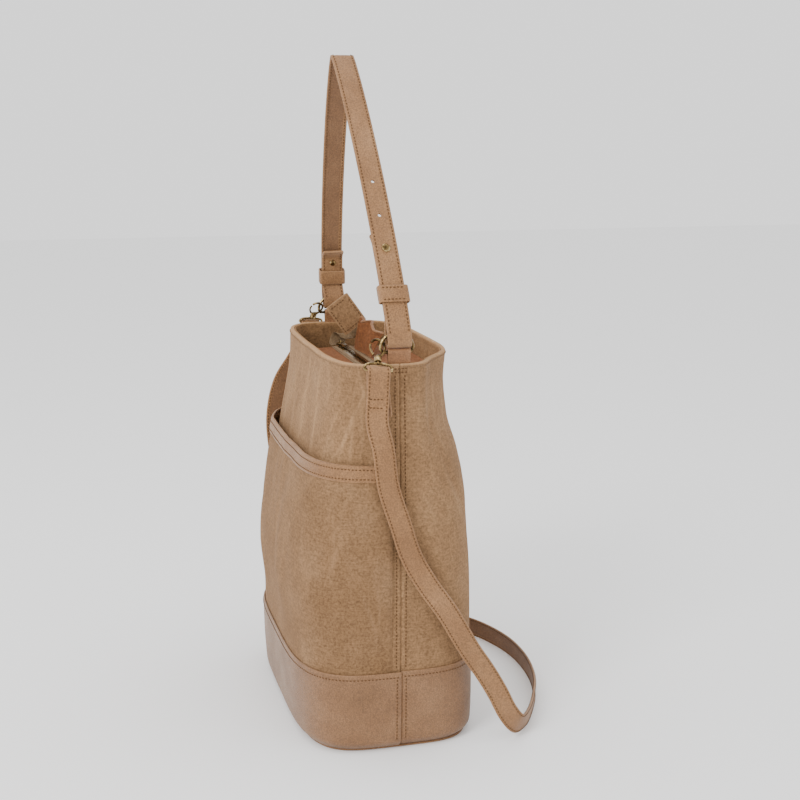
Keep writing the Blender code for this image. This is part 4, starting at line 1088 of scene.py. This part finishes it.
# loose fold of lining standing up beside the zip, with a turned edge
rows, crest = [], []
for u in np.linspace(0, 1, 60):
    x = -57.0 + 54.0 * u
    tall = 33.5 - 9.0 * u - 2.5 * math.sin(u * 9.0)
    loop = []
    for face in (-0.6, 0.6):
        vs = np.linspace(0, 1, 22)
        if face > 0:
            vs = vs[::-1]
        for v in vs:
            swell = math.sin(math.pi * min(v * 0.9 + 0.05, 1.0))
            y = 4.6 + 5.0 * u + v * (4.5 + 5.0 * u) - 2.0 * swell
            y = y + 2.6 * v * math.sin(u * 14.0 + 0.8) + 0.6 * math.sin(u * 31 + v * 5) * v
            loop.append((x + 2.0 * v * math.cos(u * 7.0), y + face, 357.9 + v * tall))
            if face < 0 and v == 1.0:
                crest.append((loop[-1][0], y, 357.9 + tall, 0, 1, 0))
    rows.append(loop)
rows = np.array(rows)
uv = np.stack([rows[:, :, 0], rows[:, :, 2]], -1).reshape(-1, 2)
put("lining_fold", rows.reshape(-1, 3), closed_grid(rows, False), RUST, "flap_back",
    (), uv)
crest = np.array(crest)
strap_mesh("lining_fold_edge", crest[:, :3] + np.array([0, 0, 0.9]), crest[:, 3:], 2.9, 2.2,
           TAB, "flap_back")

# tail of the zip tape and the end tab
ALONG = np.array((0.0, -0.58, 0.81))
ACROSS = np.array((0.0, 0.81, 0.58))
TAB_C = np.array((-62.0, -4.0, 394.5))
foot = TAB_C - ALONG * 18.9
knee = TAB_C - ALONG * 25.0
tail = [(-99.5, -4.0, 356.0, 0, 1, 0), (-108.0, -4.0, 357.0, 0, 1, 0),
        (-114.0, -1.0, 361.5, 0, 1, 0.1), (-111.0, 4.0, 367.0, 0, 0.8, 0.4),
        (-100.0, 8.5, 369.0, 0, 0.62, 0.78), (-86.0, 11.0, 371.0, 0, 0.66, 0.75),
        (-73.0, 11.6, 372.5, 0, 0.75, 0.66),
        (knee[0] - 0.6, knee[1], knee[2], 0, 0.81, 0.58),
        (foot[0], foot[1], foot[2], 0, 0.81, 0.58)]
table = spline(np.array(tail, float), 1.2)
strap_mesh("zip_tail_tape", table[:, :3], table[:, 3:], 17.0, 1.2, TAPE, "bag",
           ("zip_tail",))
pts = np.array([TAB_C + ALONG * a + np.array([0.35 * math.sin((a + 18) / 36 * math.pi), 0, 0])
                for a in np.linspace(-18, 18, 40)])
wide = np.tile(ACROSS, (len(pts), 1))
strap_mesh("end_tab", pts, wide, 28.0, 2.6, CANVAS, "bag", ("zip_end_tab",))
t, w, n = frames(pts, wide)
for tag, face in (("near", 1), ("far", -1)):
    for k, half in (("left", -11.6), ("right", 11.6)):
        line = pts[2:-2] + w[2:-2] * half + n[2:-2] * face * 1.3
        stitches("end_tab_stitches_%s_%s" % (tag, k), line, n[2:-2] * face, THREAD, "bag")
    for k, at in (("low", 4), ("high", -5)):
        line = [pts[at] + w[at] * y + n[at] * face * 1.3 for y in np.linspace(-11, 11, 30)]
        stitches("end_tab_stitches_%s_%s" % (tag, k), line, [n[at] * face] * 30, THREAD, "bag")

# ---- hardware kept from the frame ------------------------------------------------------------
KEPT = {"base_board": BOARD}
for label in ("right", "left"):
    for kind in ("d_ring_", "hook_eye_", "hook_claw_", "hook_gate_", "strap_stud_"):
        KEPT[kind + label] = BRASS
for kind in ("zip_teeth_front", "zip_teeth_back", "zip_slider", "zip_puller"):
    KEPT[kind] = BRASS
for node, mat in KEPT.items():
    obj = bpy.data.objects[node]
    obj.data.materials.clear()
    obj.data.materials.append(mat)

# ---- studio --------------------------------------------------------------------------------------
world = bpy.data.worlds.new("studio")
bpy.context.scene.world = world
world.use_nodes = True
world.node_tree.nodes["Background"].inputs["Color"].default_value = (1, 1, 1, 1)
world.node_tree.nodes["Background"].inputs["Strength"].default_value = 1.45

mesh = bpy.data.meshes.new("floor")
mesh.from_pydata([(-6, -6, 0), (6, -6, 0), (6, 6, 0), (-6, 6, 0)], [], [(0, 1, 2, 3)])
floor = bpy.data.objects.new("floor", mesh)
bpy.context.scene.collection.objects.link(floor)
pale = Nodes("pale_floor", 0.9)
pale.bsdf.inputs["Base Color"].default_value = (0.93, 0.93, 0.93, 1)
pale.bsdf.inputs["Specular IOR Level"].default_value = 0.0
mesh.materials.append(pale.mat)


def area(name, place, target, size, watts):
    data = bpy.data.lights.new(name, "AREA")
    data.shape = "SQUARE"
    data.size = size
    data.energy = watts
    lamp = bpy.data.objects.new(name, data)
    bpy.context.scene.collection.objects.link(lamp)
    lamp.location = place
    aim = Vector(target) - Vector(place)
    lamp.rotation_mode = "QUATERNION"
    lamp.rotation_quaternion = aim.to_track_quat("-Z", "Y")


area("key", (1.5, -1.7, 1.7), (0, 0, 0.28), 0.9, 44.0)
area("fill", (1.3, 1.7, 1.0), (0, 0, 0.28), 1.4, 0.6)
area("top", (0.0, 0.0, 2.2), (0, 0, 0.3), 1.2, 8.0)

data = bpy.data.cameras.new("camera")
data.lens = 62.64
data.sensor_width = 36.0
camera = bpy.data.objects.new("camera", data)
bpy.context.scene.collection.objects.link(camera)
camera.location = (1.3564, -0.3190, 0.5931)
turn, drop = math.radians(14.753), math.radians(11.323)
look = Vector((-math.cos(turn) * math.cos(drop), math.sin(turn) * math.cos(drop),
               -math.sin(drop)))
camera.rotation_mode = "QUATERNION"
camera.rotation_quaternion = look.to_track_quat("-Z", "Y")
bpy.context.scene.camera = camera

bpy.context.view_layer.update()
